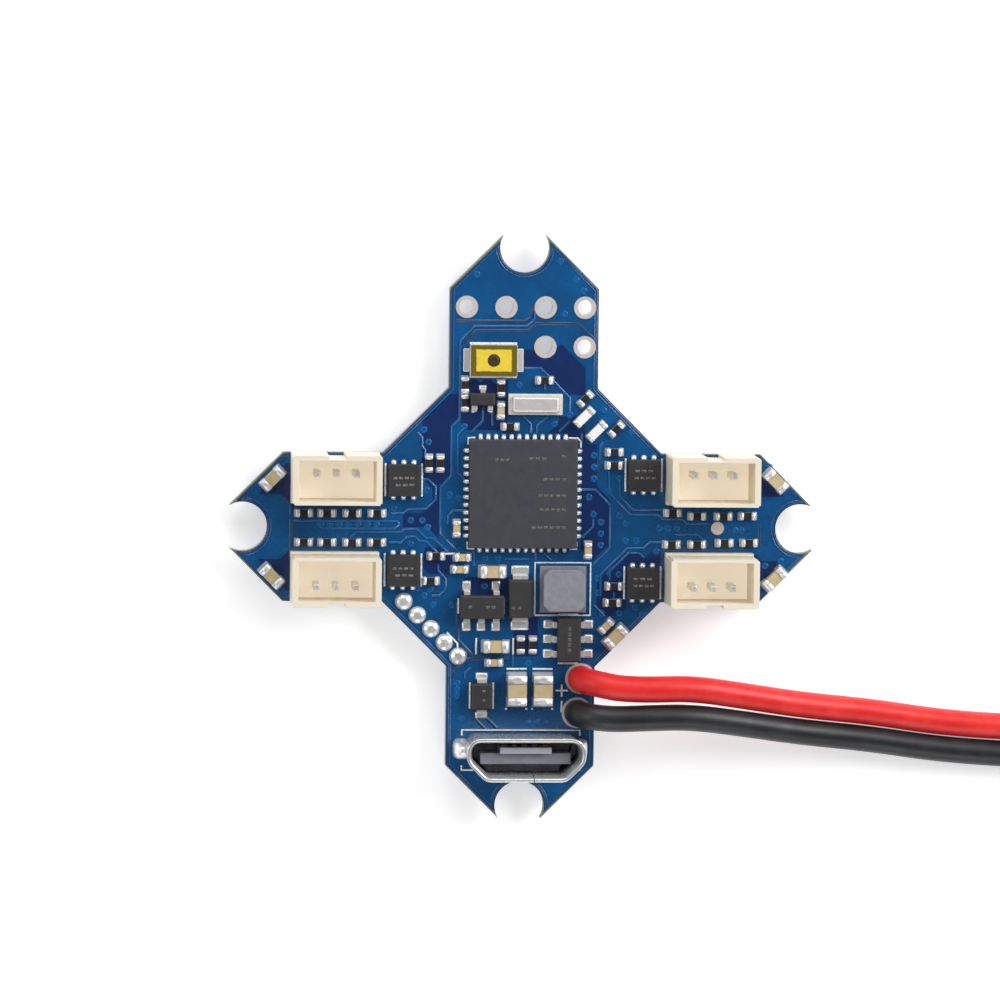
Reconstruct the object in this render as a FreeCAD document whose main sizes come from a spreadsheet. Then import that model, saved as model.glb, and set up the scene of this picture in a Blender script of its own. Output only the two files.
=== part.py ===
import FreeCAD, Part
import math
import os
import re
import Sketcher

# A small flight controller board for a four-motor model: a cross-shaped circuit board that hangs
# by four edge notches, with its sockets, chips and small parts on both faces, a boot switch whose
# stem moves, and two soldered battery leads that end in a two-way plug.
#
# Millimetres. Z is up, and Z = 0 is the surface that the board's underside parts rest on. X and Y
# start at the centre of the notch pattern. The USB socket's arm points to -Y, the arm with the
# plated holes points to +Y, and the motor sockets stand on the arms that point to -X and +X.

SIZES = (
    # the board
    ("mount_pitch", 25.5, "side of the square of edge notches"),
    ("notch_radius", 1.6, "radius of an edge notch"),
    ("edge_margin", 1.55, "from the notch square's side to the board's side"),
    ("arm_width", 9.6, "width of each arm"),
    ("waist_distance", 9.76, "from the centre to the cut sides between the arms"),
    ("board_thickness", 1.0, "thickness of the board"),
    ("land_height", 0.05, "height of copper and solder lands over the mask"),
    ("plating_wall", 0.05, "wall of the plating in a hole"),
    # plated holes and the filled joints
    ("hole_radius", 0.48, "radius of the open plated holes"),
    ("hole_ring_radius", 0.72, "outer radius of their rings"),
    ("hole_pitch", 2.54, "pitch of the open plated holes"),
    ("hole_row_inward", 3.82, "from the front notch to the outer row of holes"),
    ("joint_radius", 0.57, "radius of a filled joint"),
    ("joint_barrel_radius", 0.3, "radius of the solder that fills its hole"),
    ("joint_rise", 0.42, "height of a filled joint"),
    ("joint_pitch", 1.25, "pitch of the filled joints"),
    ("joint_plug", 0.3, "depth of the solder in the holes of the joints under the board"),
    ("test_pad_radius", 0.42, "radius of the round test pad"),
    # motor sockets
    ("socket_width", 5.7, "width of a motor socket"),
    ("socket_depth", 3.3, "depth of a motor socket at its foot"),
    ("socket_height", 4.2, "height of a motor socket"),
    ("socket_side_wall", 0.4, "its two end walls"),
    ("socket_long_wall", 0.36, "its two long walls"),
    ("socket_corner", 0.12, "its cut corners"),
    ("socket_floor", 0.8, "its floor"),
    ("socket_lip", 0.12, "step between its foot and its inner wall"),
    ("socket_inward", 5.93, "from the side notches to the sockets"),
    ("socket_overhang", 0.05, "how far a socket stands past the arm's edge"),
    ("pin_pitch", 1.25, "pitch of its pins"),
    ("pin_width", 0.4, "side of a square pin"),
    ("pin_height", 3.3, "height of a pin over the board"),
    ("pin_offset", 0.4, "from the socket's middle to its row of pins"),
    ("key_width", 1.1, "width of the notch in the outer wall"),
    ("key_depth", 0.23, "depth of that notch"),
    # USB socket
    ("usb_inward", 3.52, "from the rear notch to the USB socket"),
    ("usb_width", 7.3, "width of the USB shell"),
    ("usb_depth", 2.44, "depth of the USB shell"),
    ("usb_flare", 0.18, "how far its rim opens out on each side"),
    ("usb_height", 5.0, "height of the USB shell"),
    ("usb_flare_height", 0.8, "height of the rim that opens out"),
    ("usb_wall", 0.2, "wall of the USB shell"),
    ("usb_slant", 1.15, "size of its two slanting corners"),
    ("usb_corner", 0.3, "size of its two other corners"),
    ("usb_filling", 2.2, "height of the moulding that fills the shell"),
    ("tongue_width", 3.3, "width of the tongue"),
    ("tongue_depth", 0.4, "thickness of the tongue"),
    ("tongue_height", 4.3, "height of the tongue's end over the board"),
    ("contact_inset", 0.9, "how far the contacts stay below the tongue's end"),
    ("tongue_offset", 0.55, "from the shell's middle to the tongue"),
    ("tongue_back_width", 5.8, "width of the moulding behind the tongue"),
    ("tongue_back_depth", 0.7, "depth of that moulding"),
    ("tongue_back_height", 3.9, "height of that moulding over the board"),
    ("usb_contact_width", 0.3, "width of a contact on the tongue"),
    ("usb_contact_depth", 0.1, "thickness of a contact"),
    ("usb_contact_pitch", 0.65, "pitch of the contacts"),
    ("usb_solder_width", 0.55, "how far the solder reaches out beside the shell"),
    ("usb_solder_depth", 1.5, "length of that solder along the shell's side"),
    ("usb_solder_height", 1.2, "height of that solder"),
    # chips
    ("processor_side", 7.0, "side of the processor"),
    ("processor_height", 0.8, "height of its body"),
    ("processor_land_pitch", 0.5, "pitch of its lands"),
    ("processor_land_width", 0.27, "width of its lands"),
    ("processor_land_length", 0.64, "length of its lands, half of it under the chip"),
    ("driver_side", 2.05, "side of a driver chip"),
    ("driver_height", 0.7, "height of its body"),
    ("driver_land_pitch", 0.65, "pitch of its lands"),
    ("driver_land_width", 0.32, "width of its lands"),
    ("driver_land_length", 0.5, "length of its lands, half of it under the chip"),
    ("driver_gap_left", 0.55, "from a left motor socket to the driver chip beside it"),
    ("driver_gap_right", 0.4, "from a right motor socket to the driver chip beside it"),
    ("lead_sheet", 0.15, "thickness of a bent chip lead"),
    ("lead_knee", 0.12, "from a chip's side to the knee of its leads"),
    ("small_outline_length", 2.85, "length of the regulator's and the converter's bodies"),
    ("small_outline_width", 1.5, "width of those bodies"),
    ("small_outline_height", 1.1, "height of those bodies"),
    ("small_outline_pitch", 0.95, "pitch of their leads"),
    ("small_outline_lead", 0.4, "width of their leads"),
    ("small_outline_reach", 0.75, "how far their leads reach out"),
    ("diode_length", 2.45, "length of the power diode"),
    ("diode_width", 1.55, "width of the power diode"),
    ("diode_height", 1.0, "height of the power diode"),
    ("little_diode_length", 1.7, "length of the small diode"),
    ("little_diode_width", 1.3, "width of the small diode"),
    ("little_diode_height", 0.9, "height of the small diode"),
    ("transistor_length", 1.6, "length of the transistor"),
    ("transistor_width", 0.8, "width of the transistor"),
    ("transistor_height", 0.7, "height of the transistor"),
    ("resonator_length", 3.5, "length of the resonator"),
    ("resonator_width", 1.35, "width of the resonator"),
    ("resonator_base_height", 0.35, "height of its ceramic base"),
    ("resonator_lid_height", 0.4, "height of its lid"),
    ("inductor_side", 3.0, "side of the inductor"),
    ("inductor_base_height", 0.35, "height of its foot"),
    ("inductor_height", 1.5, "height of the inductor"),
    ("inductor_corner", 0.4, "cut corners of its ferrite"),
    # boot switch
    ("switch_length", 3.05, "length of the boot switch"),
    ("switch_width", 2.05, "width of the boot switch"),
    ("switch_height", 0.6, "height of its frame"),
    ("switch_wall", 0.3, "wall of its frame"),
    ("switch_floor", 0.15, "floor of its frame"),
    ("terminal_length", 0.42, "length of its end terminals"),
    ("terminal_width", 1.5, "width of its end terminals"),
    ("terminal_height", 0.25, "height of its end terminals"),
    ("dome_radius", 0.6, "radius of its snap dome"),
    ("dome_height", 0.12, "height of its snap dome"),
    ("film_height", 0.08, "thickness of the film over it"),
    ("film_margin", 0.03, "how far the film stays inside the frame's rim"),
    ("stem_radius", 0.34, "radius of the switch's stem"),
    ("stem_gap", 0.06, "gap round the stem"),
    ("stem_flange", 0.65, "radius of the flange that keeps the stem under the film"),
    ("flange_gap", 0.02, "gap between that flange and the film"),
    ("stem_rise", 0.08, "how far the stem stands over the film"),
    ("stem_travel", 0.2, "how far the stem goes down"),
    # small two-ended parts: length, width and height, and the length of each end
    ("large_length", 2.0, "large capacitor"),
    ("large_width", 1.25, "large capacitor"),
    ("large_height", 1.1, "large capacitor"),
    ("large_end", 0.55, "large capacitor"),
    ("medium_length", 1.6, "medium capacitor"),
    ("medium_width", 0.8, "medium capacitor"),
    ("medium_height", 0.8, "medium capacitor"),
    ("medium_end", 0.42, "medium capacitor"),
    ("small_length", 1.0, "small capacitor"),
    ("small_width", 0.5, "small capacitor"),
    ("small_height", 0.5, "small capacitor"),
    ("small_end", 0.28, "small capacitor"),
    ("resistor_length", 1.0, "resistor"),
    ("resistor_width", 0.5, "resistor"),
    ("resistor_height", 0.35, "resistor"),
    ("resistor_end", 0.25, "resistor"),
    ("light_length", 1.5, "indicator light"),
    ("light_width", 0.6, "indicator light"),
    ("light_height", 0.5, "indicator light"),
    ("light_end", 0.3, "indicator light"),
    # the underside
    ("mosfet_height", 1.0, "height of the power transistors, which the board rests on"),
    ("mosfet_length", 3.0, "length of a power transistor"),
    ("mosfet_width", 2.4, "width of a power transistor"),
    ("mosfet_land_length", 0.5, "length of its lands"),
    ("mosfet_land_width", 0.36, "width of its lands"),
    ("mosfet_land_pitch", 0.65, "pitch of its lands"),
    ("controller_side", 3.0, "side of a motor controller"),
    ("controller_height", 0.85, "height of a motor controller"),
    ("gyro_length", 3.0, "length of the motion sensor"),
    ("gyro_width", 2.5, "width of the motion sensor"),
    ("gyro_height", 0.9, "height of the motion sensor"),
    ("under_land_length", 0.36, "length of the controllers' and the sensor's lands"),
    # battery leads and plug
    ("lead_diameter", 1.7, "outer diameter of a battery lead"),
    ("lead_ring_radius", 1.0, "radius of the rings under the leads"),
    ("lead_hole_radius", 0.55, "radius of their holes"),
    ("plug_length", 8.0, "length of the plug"),
    ("plug_width", 5.8, "width of the plug"),
    ("plug_height", 4.5, "height of the plug"),
    ("plug_wall", 0.9, "wall of the plug"),
    ("contact_width", 0.9, "side of a plug contact"),
)

ALIASES = {alias for alias, value, note in SIZES}
UP = FreeCAD.Vector(0, 0, 1)
SIDES = (1, -1)

document = FreeCAD.newDocument("FlightController")
sheet = document.addObject("Spreadsheet::Sheet", "Sizes")
pieces = {}


def fill_sheet():
    """Write every driving size into the sheet, with its alias and its note."""
    for row, (alias, value, note) in enumerate(SIZES, start=1):
        sheet.set(f"A{row}", f"'{alias}")
        sheet.set(f"B{row}", str(value))
        sheet.setAlias(f"B{row}", alias)
        sheet.set(f"C{row}", f"'{note}")
    document.recompute()


def bound(expression):
    """The expression with the sheet's name before each of its aliases."""
    return re.sub(r"[a-z_]+", lambda m: f"Sizes.{m[0]}" if m[0] in ALIASES else m[0], expression)


def size(expression):
    """The value, in millimetres, of an expression on the sheet's aliases."""
    return float(sheet.evalExpression(expression))


def keep(name, thing):
    """Name a finished sub-part and put it on the list of files."""
    thing.Label = name
    pieces[name] = thing
    return thing


def place(thing, x, y, z, turn=0.0):
    """Move a sub-part to a place and turn it about Z, in degrees."""
    thing.Placement = FreeCAD.Placement(FreeCAD.Vector(x, y, z), FreeCAD.Rotation(UP, turn))
    return thing


# ---- sketches and features ------------------------------------------------------------------


def new_body(name):
    return document.addObject("PartDesign::Body", f"Body_{name}")


def sketch_on(body, role="XY_Plane", height="0"):
    """A sketch on one of the body's own planes, moved along the plane's normal."""
    sketch = body.newObject("Sketcher::SketchObject", "Sketch")
    plane = next(feature for feature in body.Origin.OriginFeatures if feature.Role == role)
    sketch.AttachmentSupport = (plane, [""])
    sketch.MapMode = "FlatFace"
    if height != "0":
        sketch.setExpression("AttachmentOffset.Base.z", bound(height))
    return sketch


def tie(sketch, geometry, point, x, y):
    """Hold a sketch point at X and Y expressions."""
    for kind, expression in (("DistanceX", x), ("DistanceY", y)):
        held = Sketcher.Constraint(kind, -1, 1, geometry, point, size(expression))
        index = sketch.addConstraint(held)
        sketch.setExpression(f"Constraints[{index}]", bound(expression))


def polygon(sketch, corners):
    """A closed outline of straight lines through corners given as pairs of expressions."""
    points = [FreeCAD.Vector(size(x), size(y), 0) for x, y in corners]
    count = len(points)
    lines = [
        sketch.addGeometry(Part.LineSegment(points[i], points[(i + 1) % count]))
        for i in range(count)
    ]
    for i in range(count):
        sketch.addConstraint(Sketcher.Constraint("Coincident", lines[i], 2, lines[(i + 1) % count], 1))
        tie(sketch, lines[i], 1, *corners[i])


def rectangle(sketch, length, width, x="0", y="0"):
    """A rectangle about the point X, Y."""
    polygon(
        sketch,
        [
            (f"{x} - ({length}) / 2", f"{y} - ({width}) / 2"),
            (f"{x} + ({length}) / 2", f"{y} - ({width}) / 2"),
            (f"{x} + ({length}) / 2", f"{y} + ({width}) / 2"),
            (f"{x} - ({length}) / 2", f"{y} + ({width}) / 2"),
        ],
    )


def circle(sketch, radius, x="0", y="0"):
    """A circle about the point X, Y."""
    centre = FreeCAD.Vector(size(x), size(y), 0)
    index = sketch.addGeometry(Part.Circle(centre, UP, size(radius)))
    tie(sketch, index, 3, x, y)
    held = sketch.addConstraint(Sketcher.Constraint("Radius", index, size(radius)))
    sketch.setExpression(f"Constraints[{held}]", bound(radius))


def pad(body, sketch, length, middle=False):
    """Add the sketch's outline to the body, to a length along the plane's normal."""
    feature = body.newObject("PartDesign::Pad", "Pad")
    feature.Profile = sketch
    feature.Midplane = middle
    feature.setExpression("Length", bound(length))
    body.Tip = feature
    return feature


def pocket(body, sketch, depth, upward=False):
    """Cut the sketch's outline out of the body, downward from its plane or upward."""
    feature = body.newObject("PartDesign::Pocket", "Pocket")
    feature.Profile = sketch
    feature.Reversed = upward
    feature.setExpression("Length", bound(depth))
    body.Tip = feature
    return feature


def around(body, feature, sketch, count):
    """Repeat a feature round the Z axis."""
    pattern = body.newObject("PartDesign::PolarPattern", "Pattern")
    pattern.Originals = [feature]
    pattern.Axis = (sketch, ["N_Axis"])
    pattern.Angle = 360
    pattern.Occurrences = count
    body.Tip = pattern


def turned(name, outline):
    """A body of revolution about Z, from an outline of radius and height expressions."""
    body = new_body(name)
    sketch = sketch_on(body, "XZ_Plane")
    polygon(sketch, outline)
    feature = body.newObject("PartDesign::Revolution", "Revolution")
    feature.Profile = sketch
    feature.ReferenceAxis = (sketch, ["V_Axis"])
    feature.Angle = 360
    body.Tip = feature
    return body


def block(name, length, width, height, bottom="0"):
    """A body with a rectangular foot, centred on Z."""
    body = new_body(name)
    sketch = sketch_on(body, "XY_Plane", bottom)
    rectangle(sketch, length, width)
    pad(body, sketch, height)
    return body


def chamfered_block(name, length, width, height, chamfer, bottom="0"):
    """A block whose upper edges are chamfered, as a moulded chip's are."""
    body = block(name, length, width, height, bottom)
    document.recompute()
    base = body.Tip
    top = max(vertex.Z for vertex in base.Shape.Vertexes)
    rim = [
        f"Edge{i}"
        for i, edge in enumerate(base.Shape.Edges, start=1)
        if all(abs(vertex.Z - top) < 1e-6 for vertex in edge.Vertexes)
    ]
    feature = body.newObject("PartDesign::Chamfer", "Chamfer")
    feature.Base = (base, rim)
    feature.Size = chamfer
    body.Tip = feature
    return body


def plain_box(name, length, width, height):
    """A box with a corner at its own origin, its sides given as expressions."""
    thing = document.addObject("Part::Box", name)
    for side, expression in (("Length", length), ("Width", width), ("Height", height)):
        thing.setExpression(side, bound(expression))
    return thing


def box(name, length, width, height, x="0", y="0", z="0"):
    """A box centred on X and Y, standing on Z, all given as expressions."""
    thing = plain_box(name, length, width, height)
    thing.setExpression("Placement.Base.x", bound(f"{x} - ({length}) / 2"))
    thing.setExpression("Placement.Base.y", bound(f"{y} - ({width}) / 2"))
    thing.setExpression("Placement.Base.z", bound(z))
    return thing


def together(name, things):
    """Several solids as one sub-part."""
    group = document.addObject("Part::Compound", name)
    group.Links = things
    return group


def copies_of(name, original, places, flipped=False):
    """Copies of an original at X, Y, Z places, each with its turn about Z."""
    copies = []
    upside = FreeCAD.Rotation(FreeCAD.Vector(1, 0, 0), 180 if flipped else 0)
    for number, (x, y, z, turn) in enumerate(places, start=1):
        copy = document.addObject("App::Link", f"{name}_{number}")
        copy.LinkedObject = original
        copy.LinkTransform = True
        rotation = FreeCAD.Rotation(UP, turn) * upside
        copy.Placement = FreeCAD.Placement(FreeCAD.Vector(x, y, z), rotation)
        copies.append(copy)
    return copies


def repeat(name, original, places, flipped=False):
    """One sub-part made of copies of one original."""
    return keep(name, together(name, copies_of(name, original, places, flipped)))


def two_ended(kind, name, ends_name, places, flipped=False):
    """The bodies and the metal ends of every two-ended part of one kind."""
    length, width, height, end = (f"{kind}_{what}" for what in ("length", "width", "height", "end"))
    middle = box(f"{kind}_middle", f"{length} - 2 * {end}", f"{width} - 0.04", f"{height} - 0.04")
    tips = [
        box(f"{kind}_tip_{number}", end, width, height, f"{side} * ({length} - {end}) / 2")
        for number, side in enumerate(SIDES)
    ]
    pair = together(f"{kind}_tips", tips)
    repeat(name, middle, places, flipped)
    repeat(ends_name, pair, places, flipped)


def bent_lead(name, width, reach, height):
    """A gull-wing lead that leaves a body at X = 0 and stands on the board."""
    body = new_body(name)
    sketch = sketch_on(body, "XZ_Plane")
    polygon(
        sketch,
        [
            ("0", height),
            ("lead_knee", height),
            ("lead_knee", "0"),
            (reach, "0"),
            (reach, "lead_sheet"),
            ("lead_knee + lead_sheet", "lead_sheet"),
            ("lead_knee + lead_sheet", f"{height} + lead_sheet"),
            ("0", f"{height} + lead_sheet"),
        ],
    )
    pad(body, sketch, width, middle=True)
    return body


# ---- places ---------------------------------------------------------------------------------

fill_sheet()

NOTCH = "mount_pitch * sqrt(2) / 2"
REST = size("mosfet_height")
TOP = REST + size("board_thickness")
REACH = size(NOTCH)


def on_top(*places):
    """Places on the board's upper face, from X, Y and turn."""
    return [(x, y, TOP, turn) for x, y, turn in places]


def on_arm(side, *places):
    """Places on a side arm, from the distance inward from its notch, Y and turn."""
    return [(side * (REACH - inward), y, TOP, turn) for inward, y, turn in places]


def under(*places):
    """Places on the board's lower face in all four quarters, from X and Y in the first."""
    return [(i * x, j * y, REST, 0) for x, y in places for i in SIDES for j in SIDES]


def socket_places():
    """The four motor sockets, each with the turn that puts its outer wall outward."""
    x = REACH - size("socket_inward")
    y = size("arm_width / 2 + socket_overhang - socket_depth / 2")
    return [(-x, y, TOP, 0), (x, y, TOP, 0), (x, -y, TOP, 180), (-x, -y, TOP, 180)]


SOCKET_NAMES = ("left_front", "right_front", "right_rear", "left_rear")
SOCKETS = socket_places()
PIN_STEPS = (-1, 0, 1)
PIN_HOLE = "pin_width * 0.75"
USB_Y = f"usb_inward - {NOTCH}"
JOINT_MIDDLE = (-5.83, -6.57)
LEAD_STARTS = {"red": (3.89, -9.76), "black": (3.69, -11.98)}


def pin_places(z):
    """The twelve socket pins, at a height."""
    step, offset = size("pin_pitch"), size("pin_offset")
    places = []
    for x, y, base, turn in SOCKETS:
        outward = 1 if turn == 0 else -1
        places += [(x + i * step, y + outward * offset, z, 0) for i in PIN_STEPS]
    return places


def hole_places():
    """The six open plated holes: a row of four, and two behind its right half."""
    pitch = size("hole_pitch")
    row = REACH - size("hole_row_inward")
    places = [((i - 1.46) * pitch, row, REST, 0) for i in range(4)]
    return places + [((i - 1.46) * pitch, row - pitch, REST, 0) for i in (2, 3)]


def joint_places():
    """The five filled joints, in a row along the cut side of the left rear quarter."""
    step = size("joint_pitch") / math.sqrt(2)
    x, y = JOINT_MIDDLE
    return [(x + i * step, y - i * step, REST, 0) for i in range(-2, 3)]


def lead_places():
    return [(x, y, REST, 0) for x, y in LEAD_STARTS.values()]


# ---- the board and what fills its holes -----------------------------------------------------


def circuit_board():
    """The board: a square on its corner, with its sides cut away between four notched arms."""
    body = new_body("board")
    corner = "(mount_pitch / 2 + edge_margin) * sqrt(2)"
    outline = sketch_on(body)
    polygon(outline, [(corner, "0"), ("0", corner), (f"-{corner}", "0"), ("0", f"-{corner}")])
    pad(body, outline, "board_thickness")

    arm = "arm_width / 2"
    waist = f"(waist_distance * sqrt(2) - {arm})"
    beyond = "mount_pitch"
    waist_cut = sketch_on(body)
    polygon(
        waist_cut,
        [(waist, arm), (beyond, arm), (beyond, beyond), (arm, beyond), (arm, waist)],
    )
    around(body, pocket(body, waist_cut, "board_thickness", upward=True), waist_cut, 4)

    notch_hole = sketch_on(body)
    circle(notch_hole, "notch_radius", NOTCH)
    around(body, pocket(body, notch_hole, "board_thickness", upward=True), notch_hole, 4)
    notch_mouth = sketch_on(body)
    mouth = "notch_radius / sqrt(2)"
    polygon(
        notch_mouth,
        [(NOTCH, f"-{mouth}"), (beyond, f"-{mouth}"), (beyond, mouth), (NOTCH, mouth)],
    )
    around(body, pocket(body, notch_mouth, "board_thickness", upward=True), notch_mouth, 4)

    for radius, places in (
        ("hole_radius + plating_wall", hole_places()),
        ("joint_barrel_radius", joint_places()),
        ("lead_hole_radius + plating_wall", lead_places()),
        (PIN_HOLE, pin_places(REST)),
    ):
        holes = sketch_on(body)
        for x, y, z, turn in places:
            circle(holes, radius, f"{x:.9f}", f"{y:.9f}")
        pocket(body, holes, "board_thickness", upward=True)
    place(keep("circuit_board", body), 0, 0, REST)


def plated_ring(name, original, hole, ring, places):
    """Plated rings: a thin tube through the board with a flat ring on each face."""
    tube = f"{hole} + plating_wall"
    spool = turned(
        original,
        [
            (hole, "-land_height"),
            (ring, "-land_height"),
            (ring, "0"),
            (tube, "0"),
            (tube, "board_thickness"),
            (ring, "board_thickness"),
            (ring, "board_thickness + land_height"),
            (hole, "board_thickness + land_height"),
        ],
    )
    repeat(name, spool, places)


def filled_joints():
    """Solder that fills a row of plated holes and domes over both faces."""
    half = "joint_radius * 0.8"
    dome = turned(
        "joint",
        [
            ("0", "-joint_rise"),
            ("joint_radius * 0.45", "-joint_rise * 0.9"),
            (half, "-joint_rise * 0.6"),
            ("joint_radius", "0"),
            ("joint_barrel_radius", "0"),
            ("joint_barrel_radius", "board_thickness"),
            ("joint_radius", "board_thickness"),
            (half, "board_thickness + joint_rise * 0.6"),
            ("joint_radius * 0.45", "board_thickness + joint_rise * 0.9"),
            ("0", "board_thickness + joint_rise"),
        ],
    )
    repeat("filled_joints", dome, joint_places())


def under_joint(name, width, barrel):
    """Solder under the board round a pin's end, with a plug of it in the hole's foot."""
    return turned(
        name,
        [
            ("0", "joint_rise"),
            (f"{width} * 0.45", "joint_rise * 0.9"),
            (f"{width} * 0.8", "joint_rise * 0.6"),
            (width, "0"),
            (barrel, "0"),
            (barrel, "-joint_plug"),
            ("0", "-joint_plug"),
        ],
    )


def hidden_joints():
    """The joints on the underside, of the socket pins and of the battery leads."""
    pin_joint = under_joint("pin_joint", "joint_radius", PIN_HOLE)
    repeat("socket_pin_joints", pin_joint, pin_places(REST), flipped=True)
    lead_joint = under_joint("lead_joint", "lead_ring_radius * 0.9", "lead_hole_radius")
    z = REST - size("land_height")
    places = [(x, y, z, turn) for x, y, base, turn in lead_places()]
    repeat("lead_joints", lead_joint, places, flipped=True)


def test_pad():
    pad_body = document.addObject("Part::Cylinder", "pad")
    pad_body.setExpression("Radius", bound("test_pad_radius"))
    pad_body.setExpression("Height", bound("land_height"))
    place(keep("test_pad", pad_body), REACH - 5.37, 0.02, TOP)


# ---- motor sockets --------------------------------------------------------------------------


def motor_socket(name):
    """One three-way socket: foot, walls with a key notch and cut corners, floor and pin holes."""
    body = new_body(name)
    foot = sketch_on(body)
    rectangle(foot, "socket_width", "socket_depth")
    pad(body, foot, "socket_floor")

    walls = sketch_on(body, height="socket_floor")
    half, back = "socket_width / 2", "socket_depth / 2"
    corner = "socket_corner"
    front = f"({back} - socket_lip)"
    step = f"({back} - 2 * socket_lip)"
    polygon(
        walls,
        [
            (f"-{half}", f"-{step}"),
            (f"-{half} + {corner}", f"-{step}"),
            (f"-{half} + {corner}", f"-{front}"),
            (f"{half} - {corner}", f"-{front}"),
            (f"{half} - {corner}", f"-{step}"),
            (half, f"-{step}"),
            (half, f"{back} - {corner}"),
            (f"{half} - {corner}", back),
            (f"-{half} + {corner}", back),
            (f"-{half}", f"{back} - {corner}"),
        ],
    )
    pad(body, walls, "socket_height - socket_floor")

    inside = sketch_on(body, height="socket_height")
    rectangle(
        inside, "socket_width - 2 * socket_side_wall", "socket_depth - 2 * socket_long_wall"
    )
    pocket(body, inside, "socket_height - socket_floor")

    key = sketch_on(body, height="socket_height")
    rectangle(key, "key_width", "2 * key_depth", "0", back)
    pocket(body, key, "socket_height")

    pins = sketch_on(body, height="socket_floor")
    for i in PIN_STEPS:
        rectangle(pins, "pin_width", "pin_width", f"{i} * pin_pitch", "pin_offset")
    pocket(body, pins, "socket_floor")
    return body


def motor_sockets():
    for name, (x, y, z, turn) in zip(SOCKET_NAMES, SOCKETS):
        place(keep(f"motor_socket_{name}", motor_socket(name)), x, y, z, turn)
    length = "pin_height + board_thickness - joint_plug"
    pin = chamfered_block("pin", "pin_width", "pin_width", length, 0.08)
    repeat("motor_socket_pins", pin, pin_places(REST + size("joint_plug")))


# ---- USB socket -----------------------------------------------------------------------------


def dee(sketch, grow="0"):
    """The outline of a USB shell, wide at +Y, grown by an amount on every side."""
    half = f"(usb_width / 2 + {grow})"
    back = f"(usb_depth / 2 + {grow})"
    polygon(
        sketch,
        [
            (f"{half} - usb_corner", back),
            (f"-{half} + usb_corner", back),
            (f"-{half}", f"{back} - usb_corner"),
            (f"-{half}", f"-{back} + usb_slant"),
            (f"-{half} + usb_slant", f"-{back}"),
            (f"{half} - usb_slant", f"-{back}"),
            (half, f"-{back} + usb_slant"),
            (half, f"{back} - usb_corner"),
        ],
    )


def usb_socket():
    """The upright USB socket: its steel shell, the moulding with the tongue, and its contacts."""
    body = new_body("usb_shell")
    straight = "(usb_height - usb_flare_height)"
    lower = sketch_on(body)
    dee(lower)
    pad(body, lower, straight)
    for grow, kind in (("0", "Additive"), ("(-usb_wall)", "Subtractive")):
        start = sketch_on(body, height=straight)
        dee(start, grow)
        rim = sketch_on(body, height="usb_height")
        dee(rim, f"{grow} + usb_flare")
        flare = body.newObject(f"PartDesign::{kind}Loft", "Flare")
        flare.Profile = start
        flare.Sections = [rim]
        flare.Ruled = True
        body.Tip = flare
    bore = sketch_on(body, height=straight)
    dee(bore, "(-usb_wall)")
    pocket(body, bore, straight)
    y = size(USB_Y)
    place(keep("usb_shell", body), 0.06, y, TOP)

    moulding = new_body("usb_moulding")
    filling = sketch_on(moulding)
    dee(filling, "(-usb_wall)")
    pad(moulding, filling, "usb_filling")
    back = sketch_on(moulding, height="usb_filling")
    back_middle = "tongue_offset - (tongue_depth + tongue_back_depth) / 2"
    rectangle(back, "tongue_back_width", "tongue_back_depth", "0", back_middle)
    pad(moulding, back, "tongue_back_height - usb_filling")
    tongue = sketch_on(moulding, height="usb_filling")
    rectangle(tongue, "tongue_width", "tongue_depth", "0", "tongue_offset")
    pad(moulding, tongue, "tongue_height - usb_filling")
    place(keep("usb_moulding", moulding), 0.06, y, TOP)

    face = "tongue_offset + (tongue_depth + usb_contact_depth) / 2"
    strip = ("usb_contact_width", "usb_contact_depth", "tongue_height - usb_filling - contact_inset")
    strips = [
        box(f"usb_contact_{i}", *strip, f"{i} * usb_contact_pitch", face) for i in range(-2, 3)
    ]
    contacts = together("usb_contacts", strips)
    place(keep("usb_contacts", contacts), 0.06, y, TOP + size("usb_filling"))

    shoulder = ("usb_solder_width", "usb_solder_depth", "usb_solder_height")
    shoulders = [
        box(f"usb_solder_{side}", *shoulder, f"{side} * (usb_width + usb_solder_width) / 2")
        for side in SIDES
    ]
    solder = together("usb_solder", shoulders)
    place(keep("usb_solder", solder), 0.06, y, TOP)


# ---- chips ----------------------------------------------------------------------------------


def edge_lands(name, side, pitch, count, edges, width, reach):
    """Flat lands that start under a chip's edge and reach out past it."""
    lands = []
    for edge in edges:
        turn = FreeCAD.Rotation(UP, 90 * edge)
        for i in range(count):
            land = plain_box(f"{name}_{edge}_{i}", reach, width, "land_height")
            out = size(f"{side} / 2")
            along = (i - (count - 1) / 2) * size(pitch)
            corner = FreeCAD.Vector(out - size(reach) / 2, along - size(width) / 2, 0)
            land.Placement = FreeCAD.Placement(turn * corner, turn)
            lands.append(land)
    return together(name, lands)


def processor():
    """The square processor and the solder lands on its four sides."""
    body = chamfered_block(
        "processor", "processor_side", "processor_side", "processor_height", 0.06, "land_height"
    )
    corner_margin = 1.0
    count = int((size("processor_side") - corner_margin) / size("processor_land_pitch"))
    lands = edge_lands(
        "processor_land", "processor_side", "processor_land_pitch", count, range(4),
        "processor_land_width", "processor_land_length",
    )
    places = on_top((0.0, 2.22, 0))
    repeat("processor", body, places)
    repeat("processor_lands", lands, places)


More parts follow.
